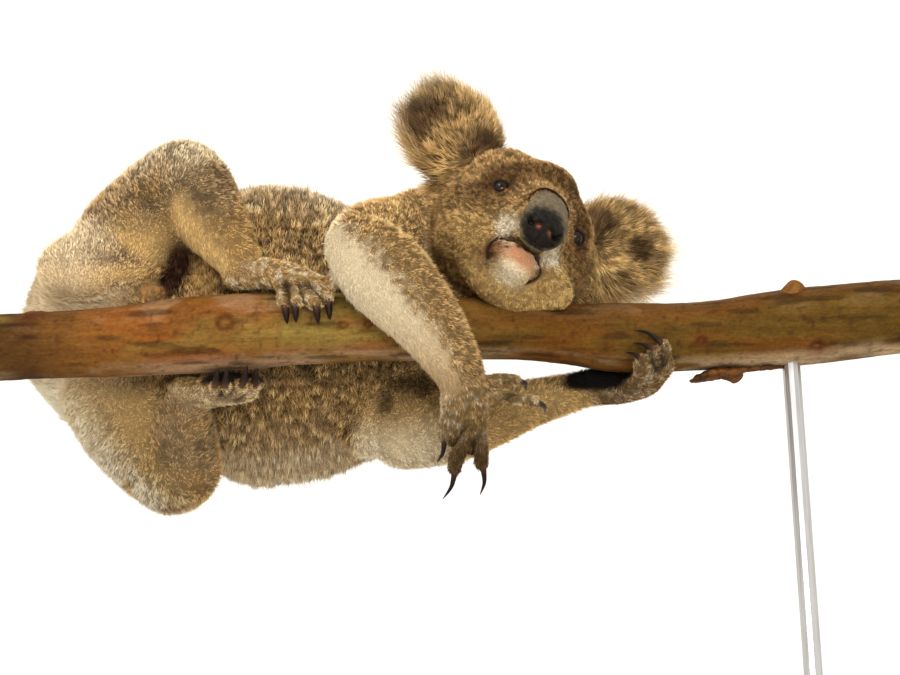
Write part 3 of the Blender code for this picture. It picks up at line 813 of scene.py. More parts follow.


# ---------------------------------------------------------------- markings, with painted light and shade

COAT_GAIN = 1.38  # what the shade between the hairs takes
GREY_TAN = srgb(154, 125, 82)
TAN = srgb(174, 140, 88)
THIGH_GREY = srgb(138, 116, 84)
ARMPIT_SHADE = srgb(66, 44, 22)
CREAM = srgb(220, 204, 174)
WHITE = srgb(228, 217, 194)
RUMP = srgb(196, 177, 146)
BAND = srgb(200, 186, 158)
INNER_THIGH = srgb(188, 158, 106)
GROIN = srgb(58, 36, 23)
FACE = srgb(94, 70, 40)
FACE_DARK = srgb(74, 48, 27)
BROW = srgb(144, 115, 74)
CHEEK = srgb(174, 142, 90)
HEAD_BACK = srgb(137, 110, 70)
CHIN = srgb(172, 124, 92)
FROST = srgb(238, 220, 190)
LIP_AND_CREASE_SHADE = srgb(50, 28, 20)
MOUTH_CORNER_SHADE = srgb(92, 58, 34)
EAR_TAN = srgb(158, 133, 94)
EAR_DARK = srgb(56, 39, 27)
EAR_FRINGE = srgb(164, 148, 123)
PAW = srgb(140, 113, 72)
PAW_DARK = srgb(74, 56, 32)
GAP_SHADE = srgb(34, 24, 15)
FOREARM_TAN = srgb(166, 138, 90)
POUCH_TAN = srgb(146, 108, 62)
BLACK_PAD_AND_SHADE = srgb(11, 9, 8)

# Soft spots: on the face as left and crown, and on an ear as out and across
EYE_SHADES = [  # round the left eye: a centre and sizes
    ((0.037, 0.017), (0.009, 0.008)),
    ((0.025, 0.005), (0.007, 0.008)),
    ((0.040, 0.002), (0.008, 0.007)),
]
# Weight, centre and sizes
NOSTRIL_FROST = [(1.1, (0.0195, -0.0255), (0.0085, 0.0052)), (0.6, (-0.0165, -0.0265), (0.0070, 0.0055))]
# Painted shadow at the corners of the mouth: left of the chin, and along its right edge
MOUTH_CORNER_SHADOWS = [(1.3, (-0.0175, -0.0440), (0.0075, 0.0110)), (0.7, (0.0190, -0.0400), (0.0045, 0.0070))]
CROWN_PATCHES = [(1.0, (0.016, 0.014), (0.017, 0.014)), (0.8, (0.008, 0.001), (0.008, 0.008))]
RIGHT_EAR_HOLLOWS = [(0.9, (0.040, -0.027), (0.013, 0.011)), (0.7, (0.053, 0.000), (0.010, 0.012))]
LIP_SPOTS = [(-0.0045, -0.0368), (0.0010, -0.0362), (-0.0105, -0.0405)]  # dark dots on the chin: centres


def spot(points, centre, sizes):
    """A soft spot of colour: 1 at its centre, and less than a quarter where its sizes end."""
    away = (((points - centre) / sizes) ** 2).sum(1)
    return np.exp(-1.5 * away)


def spots(points, *rows):
    """Soft spots together: a row is a weight, a centre and sizes."""
    return sum(weight * spot(points, centre, sizes) for weight, centre, sizes in rows)


def on_ear(head):
    """How far out along an ear, and how far across it towards the crown, points in head coordinates lie."""
    reach = 0.83 * np.abs(head[:, 1]) + 0.56 * head[:, 2] - 0.0554
    return reach, 0.83 * head[:, 2] - 0.56 * np.abs(head[:, 1]) + 0.0029


def ear_edge(reach, across):
    """How far out from the middle of an ear points lie: 1 is on its edge."""
    return np.hypot((reach - 0.034) / 0.040, across / 0.042)


class Fur:
    """Points of the coat in each frame, and the colour and the mottling that they have so far."""

    def __init__(self, world, normal, shares):
        self.world, self.perch, self.normal = world, to_perch(world), normal @ TURN
        self.head = to_head(self.perch)
        self.share = dict(zip(FLESH, shares.T))
        self.body = self.of("trunk") + self.of("neck")
        self.legs = self.of("thigh") + self.of("shin")
        self.arms = self.of("upper_arm") + self.of("forearm")
        self.paws = self.of("hand") + self.of("foot")
        self.low_shin = self.share["shin_right"] * ease(-self.perch[:, 1], -0.110, -0.060)
        self.colour = np.broadcast_to(GREY_TAN, world.shape).copy()
        speckle = 0.25 + 0.75 * self.body * ease(self.perch[:, 0], -0.26, -0.20)
        speckle = speckle + 0.65 * (self.legs + self.arms)
        self.mottle = speckle - 0.25 * self.low_shin - 0.22 * self.share["shin_left"]

    def of(self, region):
        """The shares of a region's solids together."""
        return sum(share for name, share in self.share.items() if kind(name) == region)

    def tone(self, tint, share):
        """Takes the colour towards a tint."""
        self.colour = mix(self.colour, tint, share)

    def calm(self, share):
        """Takes mottling away."""
        self.mottle = self.mottle * (1 - share)


def mark_body(fur):
    """Grey and tan patches, paler along the sides with cream fur and, on the lower edge, painted rim light,
    with darker smudges on the legs.
    """
    p, n, body = fur.perch, fur.normal, fur.body
    facing = ease(n[:, 2], -0.5, 0.0)
    fur.tone(TAN, body * blotches(p, 0.030, 3, 0.35, 0.7) * 0.7)
    # Cream along the sides; the stronger cream on the lower edge is painted rim light as well
    edges = ease(n[:, 1], 0.55, 0.95) * 0.22 + ease(-n[:, 1], 0.35, 0.90) * 0.60
    fur.tone(CREAM, body * edges * facing)
    fur.tone(THIGH_GREY, (fur.legs - 0.8 * fur.low_shin) * blotches(p, 0.022, 29, 0.30, 0.60) * 0.9)
    fur.tone(TAN, fur.low_shin * 0.8)
    smudges = (fur.legs - 0.5 * fur.low_shin) * blotches(p, 0.0080, 33, 0.48, 0.66) * 0.75
    fur.tone(fur.colour * 0.66, smudges)
    fur.calm(0.55 * (body * ease(-n[:, 1], 0.25, 0.80) * facing))


def mark_rump_and_chest(fur):
    """A pale rump, whiter below, and a tan chest."""
    p, n = fur.perch, fur.normal
    rump = ease(-p[:, 0] + 0.25 * p[:, 2], 0.215, 0.262)
    rump = fur.body * rump * ease(n[:, 2] - 0.8 * n[:, 0], -0.75, 0.1)
    fur.tone(RUMP, rump * 0.95)
    fur.calm(0.9 * rump)
    fur.tone(WHITE, rump * ease(-p[:, 1], 0.020, 0.050) * 0.75)
    edge = 0.03 * (noise(p, 0.010, 19, 2) - 0.5)
    chest = fur.body * ease(p[:, 0] + edge, -0.090, -0.060) * ease(n[:, 2] - 0.3 * n[:, 1], 0.0, 0.7)
    fur.tone(TAN, chest * 0.7)


def mark_thighs(fur):
    """Orange-tan inside the thighs, pale hips and a pale outer left leg, and a dark brown patch in the groin.
    """
    p, n, share = fur.perch, fur.normal, fur.share
    inner = share["thigh_right"] * ease(-n[:, 1] + 0.4 * n[:, 2], 0.0, 0.6) * ease(-p[:, 1], -0.100, -0.070)
    inner = inner + share["thigh_left"] * ease(n[:, 1] + 0.4 * n[:, 2], 0.2, 0.8) * 0.7
    inner = clamp(inner + share["shin_right"] * ease(-n[:, 0], 0.0, 0.6))
    fur.tone(INNER_THIGH, inner)
    fur.calm(0.7 * inner)
    hip = fur.legs * ease(-p[:, 0], 0.235, 0.285) * ease(-p[:, 1], -0.098, -0.078)
    fur.tone(RUMP, hip * 0.85)
    fur.calm(0.5 * hip)
    outer = (share["thigh_left"] + share["shin_left"]) * ease(-p[:, 0] - p[:, 1], 0.303, 0.350)
    fur.tone(CREAM, outer * blotches(p, 0.016, 27, 0.20, 0.50) * 0.75)
    fur.tone(INNER_THIGH * 0.85, share["thigh_left"] * (1 - outer) * 0.6)
    facing = ease(n[:, 2], -0.3, 0.3)
    belly = clamp(1.5 * (spot(p, (-0.1860, 0.0430, -0.045), (0.017, 0.019, 0.05)) * fur.body * facing))
    fur.tone(TAN, belly * 0.85)
    fur.calm(0.65 * belly)
    groin = spots(
        p,
        (1.0, (-0.2040, 0.0540, -0.045), (0.0115, 0.020, 0.05)),
        (1.0, (-0.2110, 0.0390, -0.045), (0.0085, 0.012, 0.05)),
    )
    fur.tone(GROIN, clamp(groin * facing * 1.6) * (1 - share["foot_right"]))
    fur.tone(CREAM, share["thigh_right"] * ease(p[:, 1], 0.105, 0.140) * 0.3)


def mark_arms(fur, pale):
    """The right arm's pale inner side and dark wrist, and the left forearm's tan one over painted shade in
    the armpit.
    """
    p, n, share = fur.perch, fur.normal, fur.share
    right = share["forearm_right"] + share["upper_arm_right"] * ease(p[:, 2], -0.05, 0.0)
    band = mix(BAND[None], TAN[None], ease(-p[:, 1], -0.030, 0.050) * 0.75)
    fur.tone(band, right * pale * 0.95)
    fur.calm(0.9 * right * pale)
    wrist = share["forearm_right"] * ease(-p[:, 1], 0.000, 0.050)
    fur.tone(fur.colour * 0.60, wrist * (1 - 0.3 * pale))
    left = share["forearm_left"] + share["upper_arm_left"]
    under = left * ease(n[:, 2] - n[:, 1] * 0.6, -0.4, 0.5)
    fur.tone(FOREARM_TAN, under)
    fur.tone(CREAM, under * ease(-p[:, 0], -0.04, 0.02) * ease(-p[:, 1], 0.050, 0.085) * 0.75)
    fur.calm(0.42 * under)
    # Painted shade in the fold of the left armpit, brown and soft-edged
    armpit_shade = spots(
        p,
        (1.0, (-0.024, -0.035, -0.040), (0.026, 0.011, 0.030)),
        (0.6, (-0.047, -0.048, -0.036), (0.010, 0.016, 0.03)),
    )
    armpit_shade = clamp(1.5 * armpit_shade - 0.9 * (noise(p, 0.010, 31, 2) - 0.35)) * clamp(left + fur.body)
    fur.tone(ARMPIT_SHADE, armpit_shade * 0.85)
    fur.mottle = clamp(fur.mottle + 0.6 * armpit_shade)


def mark_paws(fur, pale):
    """Speckled paws, with black pads at the left sole and palm that are partly painted shade under the
    branch, and painted shade in the gaps between the digits.
    """
    p, share, paws = fur.perch, fur.share, fur.paws
    paw = mix(PAW[None], CREAM[None], blotches(p, 0.0030, 8, 0.45, 0.80, 1) * 0.5)
    paw = paw * (1 + 0.25 * share["foot_right"] - 0.22 * share["hand_right"])[:, None]
    dim = share["hand_left"] * 0.55 + share["hand_right"] * ease(-p[:, 1], 0.045, 0.080)
    paw = mix(paw, PAW_DARK, (dim + share["foot_left"] * 0.12) * 0.9)
    fur.tone(paw, paws)
    fur.tone(CREAM, share["hand_right"] * pale * ease(p[:, 1], -0.078, -0.055) * 0.4)
    fur.tone(TAN, share["foot_left"] * 0.45)
    fur.tone(CREAM, share["foot_left"] * ease(-p[:, 1], 0.033, 0.040) * 0.25)
    # The left sole's black pad: its bare sole, and painted shade between the foot and the branch
    fur.tone(BLACK_PAD_AND_SHADE, clamp(2 * spot(p, SOLE, (0.030, 0.010, 0.016))) * ease(p[:, 1], -0.037, -0.032))
    # Painted shade in the gaps between the digits
    fur.tone(GAP_SHADE, between_digits(fur.world) * 0.92 * paws)
    fur.mottle = fur.mottle * (1 - paws) + 0.75 * paws
    # The left palm's black pad: its bare palm, and painted shade between the hand and the branch
    fur.tone(BLACK_PAD_AND_SHADE, clamp(2.5 * spot(p, PALM, (0.029, 0.014, 0.022))) * ease(p[:, 1], -0.041, -0.036))


def mark_face(fur):
    """The face, from the dark bridge and the ring of the brow down to the lips and the pink chin, with
    painted shade on the right cheek, at the mouth's corners and in its crease, and painted rim light along
    the brow's pale ring.
    """
    h = fur.head
    plan = h[:, 1:]
    ahead = ease(h[:, 0], 0.035, 0.048)
    face = mix(FACE[None], CHEEK[None], ease(-h[:, 2], -0.012, 0.052))
    # Darker towards the right side of the face: painted shade, set against the key light that brightens that
    # cheek
    face = face * (1 - 0.28 * ease(-h[:, 1], 0.015, 0.042))[:, None]
    round_face = np.hypot(h[:, 1] / 0.0485, h[:, 2] / 0.046)
    ring = np.exp(-(((round_face - 1.03) / 0.070) ** 2)) * ease(h[:, 2], -0.010, 0.012)
    face = mix(face, HEAD_BACK, ease(round_face, 1.02, 1.16) * ease(h[:, 2], -0.012, 0.010))
    # The pale ring over the top of the face: pale fur, with painted rim light along it
    face = mix(face, BROW, ring * ease(h[:, 0], 0.005, 0.025) * 0.9)
    for sign in (1, -1):
        for at, sizes in EYE_SHADES:
            face = mix(face, FACE_DARK, clamp(spot(plan, np.array(at) * (sign, 1), sizes)) * 0.6)
    round_nose = np.hypot(h[:, 1] / 0.0185, (h[:, 2] + 0.011) / 0.0265)
    band = ease(round_nose, 0.95, 1.08) * (1 - ease(round_nose, 1.25, 1.65)) * ease(h[:, 0], 0.040, 0.052)
    face = mix(face, BROW, band * 0.9)
    face = mix(face, WHITE, band * ease(-h[:, 2], 0.012, 0.024) * 0.28)
    frost = clamp(spots(plan, *NOSTRIL_FROST) * 1.3)
    face = mix(face, FROST, frost * ease(h[:, 0], 0.04, 0.05))
    face = mix(face, HEAD_BACK, 1 - ease(h[:, 0], -0.01, 0.03))
    # Painted shadow at the mouth's corners
    face = mix(face, MOUTH_CORNER_SHADE, clamp(spots(plan, *MOUTH_CORNER_SHADOWS) * 1.2) * ahead * 0.85)
    beard = spot(plan, (0.0020, -0.0525), (0.0125, 0.0062)) * ahead
    face = mix(face, CREAM, clamp(beard * 1.6))
    pink = spot(plan, (0.0005, -0.0425), (0.0125, 0.0072)) * ahead * below_mouth(h)
    face = mix(face, CHIN, clamp(pink * 1.8))
    for at in LIP_SPOTS:
        face = mix(face, LIP_AND_CREASE_SHADE, clamp(1.3 * spot(plan, at, (0.0020, 0.0013))) * ahead)
    # The dark line along the lips: the lips' own dark skin, with painted shade in the crease of the mouth
    wide = 0.0017 - 0.0006 * ease(np.abs(h[:, 1]), 0.010, 0.018)
    face = mix(face, LIP_AND_CREASE_SHADE, clamp(np.exp(-((from_mouth(h) / wide) ** 2)) * ahead * 1.4))
    head = fur.of("head") + fur.of("jaw")
    fur.tone(face, head)
    speckle = np.clip(0.95 - 0.2 * ease(-h[:, 2], 0.02, 0.05) - beard - 1.5 * pink, 0.1, 1)
    fur.mottle = fur.mottle * (1 - head) + head * speckle


def mark_ears(fur):
    """Tan ears with dark hollows and a pale fringe. The left one is lighter."""
    p, h, ear = fur.perch, fur.head, fur.of("ear")
    is_left, is_right = h[:, 1:2] > 0, h[:, 1] < 0
    reach, across = on_ear(h)
    flat = np.stack([reach, across], -1)
    dark = blotches(p, 0.012, 21, 0.46, 0.62) * np.where(h[:, 1] > 0, 0.35, 0.55)
    shade = mix(EAR_TAN[None], EAR_DARK[None], dark) * np.where(is_left, 1.12, 1.0)
    shade = mix(shade, TAN, spot(flat, (0.024, -0.022), (0.022, 0.016)) * 0.35 * is_right)
    shade = mix(shade, TAN, spot(flat, (0.037, 0.004), (0.011, 0.012)) * 0.3 * is_right)
    hollow = spot(flat, np.where(is_left, (0.048, -0.003), (0.055, -0.018)), (0.014, 0.016))
    hollow = hollow + spots(flat, *RIGHT_EAR_HOLLOWS) * is_right
    hollow = hollow + 0.5 * spot(flat, (0.026, -0.027), (0.010, 0.010)) * (h[:, 1] > 0)
    hollow = hollow * ease(fur.normal @ FORWARD, 0.0, 0.4)
    shade = mix(shade, EAR_DARK, clamp((spots(flat, *CROWN_PATCHES) + hollow) * 1.4) * 0.92)
    rim = ease(ear_edge(reach, across), 0.74, 1.0) * ease(reach, 0.010, 0.030)
    shade = mix(shade, np.where(is_left, EAR_FRINGE * 1.80, EAR_FRINGE * 0.85), rim * 0.9)
    fur.tone(shade, clamp(ear))
    fur.mottle = fur.mottle * (1 - ear) + 0.7 * ear * (1 - 0.5 * rim)


def markings_and_painted_light(world, normal, shares):
    """The coat's colour with its painted light and shade, and how strongly it is mottled, at points with
    those shares of the regions.
    """
    fur = Fur(world, normal, shares)
    mark_body(fur)
    mark_rump_and_chest(fur)
    mark_thighs(fur)
    ragged = 0.75 * (noise(fur.perch, 0.0035, 14, 2) - 0.5)
    pale = fur.normal @ unit(np.array((-0.80, -0.55, 0.10))) + ragged
    pale = pale - 0.55 * fur.share["hand_right"] - 0.20 * ease(-fur.perch[:, 1], 0.000, 0.060)
    pale = ease(pale, -0.20, 0.34)
    mark_arms(fur, pale)
    mark_paws(fur, pale)
    mark_face(fur)
    mark_ears(fur)
    sack = ease(pouch(world), 0.40, 0.70)
    fur.tone(POUCH_TAN, sack)
    fur.calm(0.8 * sack)
    return clamp(fur.colour), clamp(fur.mottle)


def speckled(colour, mottle, points, chance, lock_chance):
    """The colour with the coat's mottling: dark and light hairs, and darker or lighter locks."""
    hair = 0.70 + 0.55 * chance
    lock = 0.72 + 0.56 * ease(lock_chance, 0.15, 0.85)
    dots = 1 - 0.66 * blotches(points, 0.0024, 55, 0.50, 0.64, 1)
    strong = hair * lock * dots * 1.35
    calm = (0.74 + 0.18 * chance) * (0.95 + 0.08 * lock_chance)
    return colour * (calm + (strong - calm) * mottle)[:, None] * COAT_GAIN


skin_colour, skin_mottle = markings_and_painted_light(skin_points, skin_normals, skin_shares)
# The skin between the hairs is painted darker than the coat: painted shade deep in the fur, strongest where
# it is speckled
paint(skin_data, skin_colour * mix(0.80, 0.38, skin_mottle))
skin_data.shade_smooth()
HIDE = tinted("skin", 0.9, 700.0, 0.0006, Specular_IOR_Level=0.14)
finished(placed("skin", skin_data), HIDE, "fur", *FLESH)


# ---------------------------------------------------------------- the coat


def unwrapped_skin():
    """A coarse copy of the skin, unwrapped in flat islands: its tree, and each triangle's corners and UVs."""
    mesh = remeshed(skin_points, skin_triangles, UNWRAP_VOXEL)
    flat = placed("flat", mesh)
    bpy.context.view_layer.objects.active = flat
    for obj in bpy.context.selected_objects:
        obj.select_set(False)
    flat.select_set(True)
    bpy.ops.object.mode_set(mode="EDIT")
    bpy.ops.mesh.select_all(action="SELECT")
    bpy.ops.uv.smart_project(angle_limit=math.radians(66), island_margin=0.004)
    bpy.ops.object.mode_set(mode="OBJECT")
    points, triangles = arrays(mesh)
    loops = np.array([t.loops for t in mesh.loop_triangles])
    uvs = np.empty(len(mesh.loops) * 2, np.float32)
    mesh.uv_layers.active.data.foreach_get("uv", uvs)
    uvs = uvs.reshape(-1, 2)[loops]
    bpy.data.objects.remove(flat)
    bpy.data.meshes.remove(mesh)
    return search_tree(points, triangles), points[triangles], uvs


def places_on(unwrap, points):
    """Where each point lies on the unwrap of the skin."""
    tree, corners, uvs = unwrap
    hits = [tree.find_nearest(Vector(p)) for p in points]
    index = np.array([h[2] for h in hits])
    at = np.array([h[0] for h in hits])
    a, b, c = (corners[index, k] for k in range(3))
    whole = np.cross(b - a, c - a)
    area = np.maximum(dot(whole, whole), 1e-18)
    u = np.clip(dot(np.cross(c - b, at - b), whole) / area, 0, 1)
    v = np.clip(dot(np.cross(a - c, at - c), whole) / area, 0, 1)
    w = 1 - u - v
    return (uvs[index] * np.stack([u, v, w], -1)[..., None]).sum(1)


def over_branch(perch):
    """How far inside the branch a point is: above 0 is inside, and 0 on its bark."""
    x, y, half_high, half_deep = np.array(BRANCH).T
    middle = np.interp(perch[:, 0], x, y)
    high = np.interp(perch[:, 0], x, half_high)
    deep = np.interp(perch[:, 0], x, half_deep)
    return 1 - np.sqrt(((perch[:, 1] - middle) / high) ** 2 + (perch[:, 2] / deep) ** 2)


def bare(head):
    """Where no hair grows: the eyes and their rims, the nose, and the line of the lips."""
    out = np.zeros(len(head), bool)
    for sign in (1, -1):
        far, angle, turns = eye_polar(head, sign)
        out |= (angle < opening(turns, sign) + 0.22) & (far < EYE_RADIUS + 0.008)
    out |= spot(head, (0.075, 0, -0.010), (0.014, 0.0135, 0.0215)) > 0.30
    return out | ((from_mouth(head) < 0.0011) & (head[:, 0] > 0.035))


def coat_roots():
    """Each tuft's root, spread evenly over the skin where hair grows.

    Gives its place, normal, way, sizes, shares of the regions and place in head coordinates.
    """
    a, b, c = (skin_points[skin_triangles[:, k]] for k in range(3))
    area = np.linalg.norm(np.cross(b - a, c - a), axis=1) / 2
    density = skin_sizes[:, 3][skin_triangles].mean(1)
    count = np.floor(area * density + rng.random(len(area))).astype(int)
    triangle = np.repeat(np.arange(len(area)), count)
    r, s = rng.random(len(triangle)), rng.random(len(triangle))
    flip = r + s > 1
    r, s = np.where(flip, 1 - r, r), np.where(flip, 1 - s, s)
    corner, share = skin_triangles[triangle], np.stack([1 - r - s, r, s], -1)

    def at_root(values):
        return (values[corner] * share[..., None]).sum(1)

    root, normal, way = at_root(skin_points), unit(at_root(skin_normals)), unit(at_root(skin_flow))
    sizes, shares = at_root(skin_sizes), at_root(skin_shares)
    perch = to_perch(root)
    head = to_head(perch)
    on_head = shares[:, [kind(name) in ("head", "jaw") for name in FLESH]].sum(1) > 0.3
    keep = ~(bare(head) & on_head) & (over_branch(perch) < 0.0)
    return [values[keep] for values in (root, normal, way, sizes, shares, head)]


def tufts_of(short, root, normal, way, length, width, lift, pull):
    """Closed, tapering tufts from their roots: (tufts, points, 3), and the faces of one.

    A short tuft is a three-sided spike. A long one is thin at its root too, and bends over.
    """
    side = unit(np.cross(normal, way))
    start = unit(way * np.cos(lift)[:, None] + normal * np.sin(lift)[:, None])
    finish = unit(way * np.cos(lift * 0.4)[:, None] + normal * np.sin(lift * 0.4)[:, None])
    thick = unit(np.cross(start, side))
    foot = root - normal * np.minimum(0.0008, length * 0.10)[:, None]
    middle = foot + start * (length * 0.42)[:, None]
    tip = middle + finish * (length * 0.58)[:, None] + pull
    half = width / 2

    def ring(at):
        corners = ((-1.0, -0.4), (1.0, -0.4), (0.0, 0.8))
        return [at + (side * x + thick * y) * half[:, None] for x, y in corners]

    if short:
        return np.stack([*ring(foot), tip], 1), SHORT_FACES
    return np.stack([foot, *ring(middle + pull * 0.3), tip], 1), LONG_FACES


SHORT_FACES = np.array([(0, 2, 1), (0, 1, 3), (1, 2, 3), (2, 0, 3)])
LONG_FACES = np.array([(0, 2, 1), (0, 3, 2), (0, 1, 3), (4, 1, 2), (4, 2, 3), (4, 3, 1)])
UV_PATCH = 0.0015  # how far a tuft's corners are apart on the unwrap
FINE_LOCK, SHORT_LOCK, EAR_LOCK, BODY_LOCK = 0.0024, 0.0032, 0.0046, 0.0062  # how wide a lock of hair is
MOST_LONG, MOST_SHORT = 31000, 47000  # tufts in one piece

# How light a tuft is at each of its corners, root first, in plain and in speckled fur
SHORT_CALM, SHORT_STRONG = np.array((0.80, 0.80, 0.80, 1.12)), np.array((0.46, 0.46, 0.46, 1.36))
LONG_CALM, LONG_STRONG = np.array((0.70, 0.92, 0.92, 0.92, 1.15)), np.array((0.28, 0.80, 0.80, 0.80, 1.45))
ROOT_TONE, TIP_TONE = (1.07, 0.97, 0.58), (1.00, 1.02, 1.20)  # speckled hair is browner below its tip


def coat_piece(name, tufts, faces, colours, uv):
    """A piece of the coat from its tufts' corners, with each tuft's place on the unwrap as its UVs."""
    count, corners = tufts.shape[:2]
    every = (np.arange(count)[:, None, None] * corners + faces[None]).reshape(-1, 3)
    obj = build(name, tufts.reshape(-1, 3), every, clamp(colours.reshape(-1, 3)))
    patch = np.stack([np.cos(circle(corners)), np.sin(circle(corners))], -1)
    places = (uv[:, None] + patch[None] * UV_PATCH).reshape(-1, 2)
    layer = obj.data.uv_layers.new(name="OFBake")
    layer.data.foreach_set("uv", places[every.ravel()].astype(np.float32).ravel())
    return obj


def coat_pieces(short, shapes, tint, mottle, uv):
    """The pieces of the coat: long tufts, then short ones. Shapes are what tufts_of takes, for every tuft."""
    made = []
    kinds = (("coat", ~short, False, MOST_LONG), ("short_coat", short, True, MOST_SHORT))
    for name, which, is_short, limit in kinds:
        calm, strong = (SHORT_CALM, SHORT_STRONG) if is_short else (LONG_CALM, LONG_STRONG)
        tones = np.array([ROOT_TONE] * (len(calm) - 1) + [TIP_TONE]) - 1
        index = np.flatnonzero(which)
        for part, some in enumerate(np.array_split(index, max(1, math.ceil(len(index) / limit)))):
            tufts, faces = tufts_of(is_short, *(values[some] for values in shapes))
            levels = calm + (strong - calm) * mottle[some][:, None]
            warmth = 1 + tones[None] * mottle[some][:, None, None]
            colours = tint[some][:, None] * levels[..., None] * warmth
            made.append(coat_piece(f"{name}_{part + 1}", tufts, faces, colours, uv[some]))
    return made


def lock_of(root, size):
    """The centre and a random number of the lock that each root belongs to, where locks have those sizes."""
    centre, chance = np.zeros_like(root), np.zeros(len(root))
    for step in np.unique(size):
        which = size == step
        centre[which], chance[which] = locks(root[which], step, int(step * 1e5))
    return centre, chance


def drawn_together(root, normal, way, length, lift, centre, share):
    """Each tuft's length and the pull on its tip towards the middle of its lock.

    Tips that would reach into the branch are drawn back.
    """
    rise = lift * 0.6
    tip = root + way * (length * np.cos(rise))[:, None] + normal * (length * np.sin(rise))[:, None]
    focus = centre + way * (length * np.cos(lift) * 1.1)[:, None]
    pull = along_skin(focus - tip, normal) * share[:, None]
    shorten = 1 - 0.75 * ease(over_branch(to_perch(tip + pull)), -0.12, 0.10)
    return length * shorten, pull * shorten[:, None]


def coat():
    """The whole coat: its pieces, in short and in long tufts."""
    root, normal, way, sizes, shares, head = coat_roots()
    n = len(root)

    def of(*regions):
        return shares[:, [kind(name) in regions for name in FLESH]].sum(1)

    face = clamp(of("head", "jaw") * face_share(head) + of("jaw"))
    paw, ear = of("hand", "foot"), of("ear")
    body = 1 - clamp(face + paw)

    # Hair gathers in locks, which differ in length and lift
    short = ear < 0.5
    size = np.where(face + paw > 0.5, FINE_LOCK, np.where(short, SHORT_LOCK, EAR_LOCK))
    size = np.where(of("trunk", "neck") > 0.5, BODY_LOCK, size)
    centre, chance = lock_of(root, size)
    own = rng.random(n)
    astray = np.linalg.norm(along_skin(root - centre, normal), axis=1) / size
    length = sizes[:, 1] * (0.75 + 0.35 * chance + 0.35 * (own - 0.3))
    length = length * np.where(rng.random(n) > 0.94, 1.5, 1.0)
    width = sizes[:, 2] * (0.70 + 0.5 * rng.random(n))
    lift = sizes[:, 4] * (0.6 + 0.5 * chance + 0.4 * rng.random(n))

    tint, mottle = markings_and_painted_light(root, normal, shares)
    lift = lift * np.where(ear > 0.5, 1.0, 0.60 + 0.40 * ease(mottle, 0.1, 0.5))

    # The ear's long fringe, along its edge
    reach, across = on_ear(head)
    rim = ear * ease(ear_edge(reach, across), 0.62, 0.95) * ease(reach, 0.000, 0.020)
    wisp = rng.random(n)
    lobe = ease(-across, 0.018, 0.034) * ease(reach, -0.010, 0.010)
    length = length * (0.75 + 0.75 * lobe + rim * (0.30 + 0.80 * wisp**2)) ** ear
    lift = lift * (1 - 0.60 * rim)
    width = width * (1 - 0.45 * rim)

    wander = (0.25 + 0.20 * body - 0.20 * ear) * (0.4 + 0.6 * mottle)
    drift = (noise(root, 0.022, 71) - 0.5)[:, None] * np.cross(normal, way) * 0.9
    way = unit(way + drift * body[:, None] + wander[:, None] * rng.normal(size=(n, 3)))
    way = unit(along_skin(way, normal))
    together = 0.40 + 0.18 * of("trunk", "neck", "ear")
    length, pull = drawn_together(root, normal, way, length, lift, centre, together)

    tint = speckled(tint, mottle, root, own, chance)
    # Darker towards the edge of each lock on the speckled trunk: painted shade in the partings between locks
    woolly = of("trunk", "neck") * mottle
    tint = tint * (1.15 - 0.62 * ease(astray, 0.25, 0.60) * woolly)[:, None]
    tint = tint * (1 - 0.45 * blotches(root, 0.0055, 57, 0.50, 0.64, 1) * woolly)[:, None]
    shapes = (root, normal, way, length, width, lift, pull)
    return coat_pieces(short, shapes, tint, mottle, places_on(unwrapped_skin(), root))


HAIR = tinted("hair", 0.82, Specular_IOR_Level=0.06)
for piece in coat():
    finished(piece, HAIR, "fur")


# ---------------------------------------------------------------- nose, eyes and claws

NOSE = [  # forward, left, crown, half side, front and back, from the bridge down
    (0.0595, 0.0005, 0.0120, 0.0065, 0.0030, 0.0080),
    (0.0670, 0.0005, 0.0060, 0.0112, 0.0050, 0.0090),
    (0.0730, 0.0005, -0.0030, 0.0148, 0.0066, 0.0100),
    (0.0766, 0.0008, -0.0120, 0.0168, 0.0076, 0.0105),
    (0.0780, 0.0010, -0.0205, 0.0174, 0.0080, 0.0110),
    (0.0768, 0.0010, -0.0285, 0.0158, 0.0076, 0.0110),
    (0.0738, 0.0010, -0.0340, 0.0105, 0.0052, 0.0090),
]
# The left nostril's line, as left and crown, outwards from the middle of the pad
NOSTRIL = np.array([(0.0050, -0.0235), (0.0078, -0.0262), (0.0112, -0.0262), (0.0132, -0.0232)])
NOSE_BLACK = srgb(15, 10, 6)
NOSE_GREY = srgb(90, 80, 62)
NOSE_PINK = srgb(176, 104, 74)


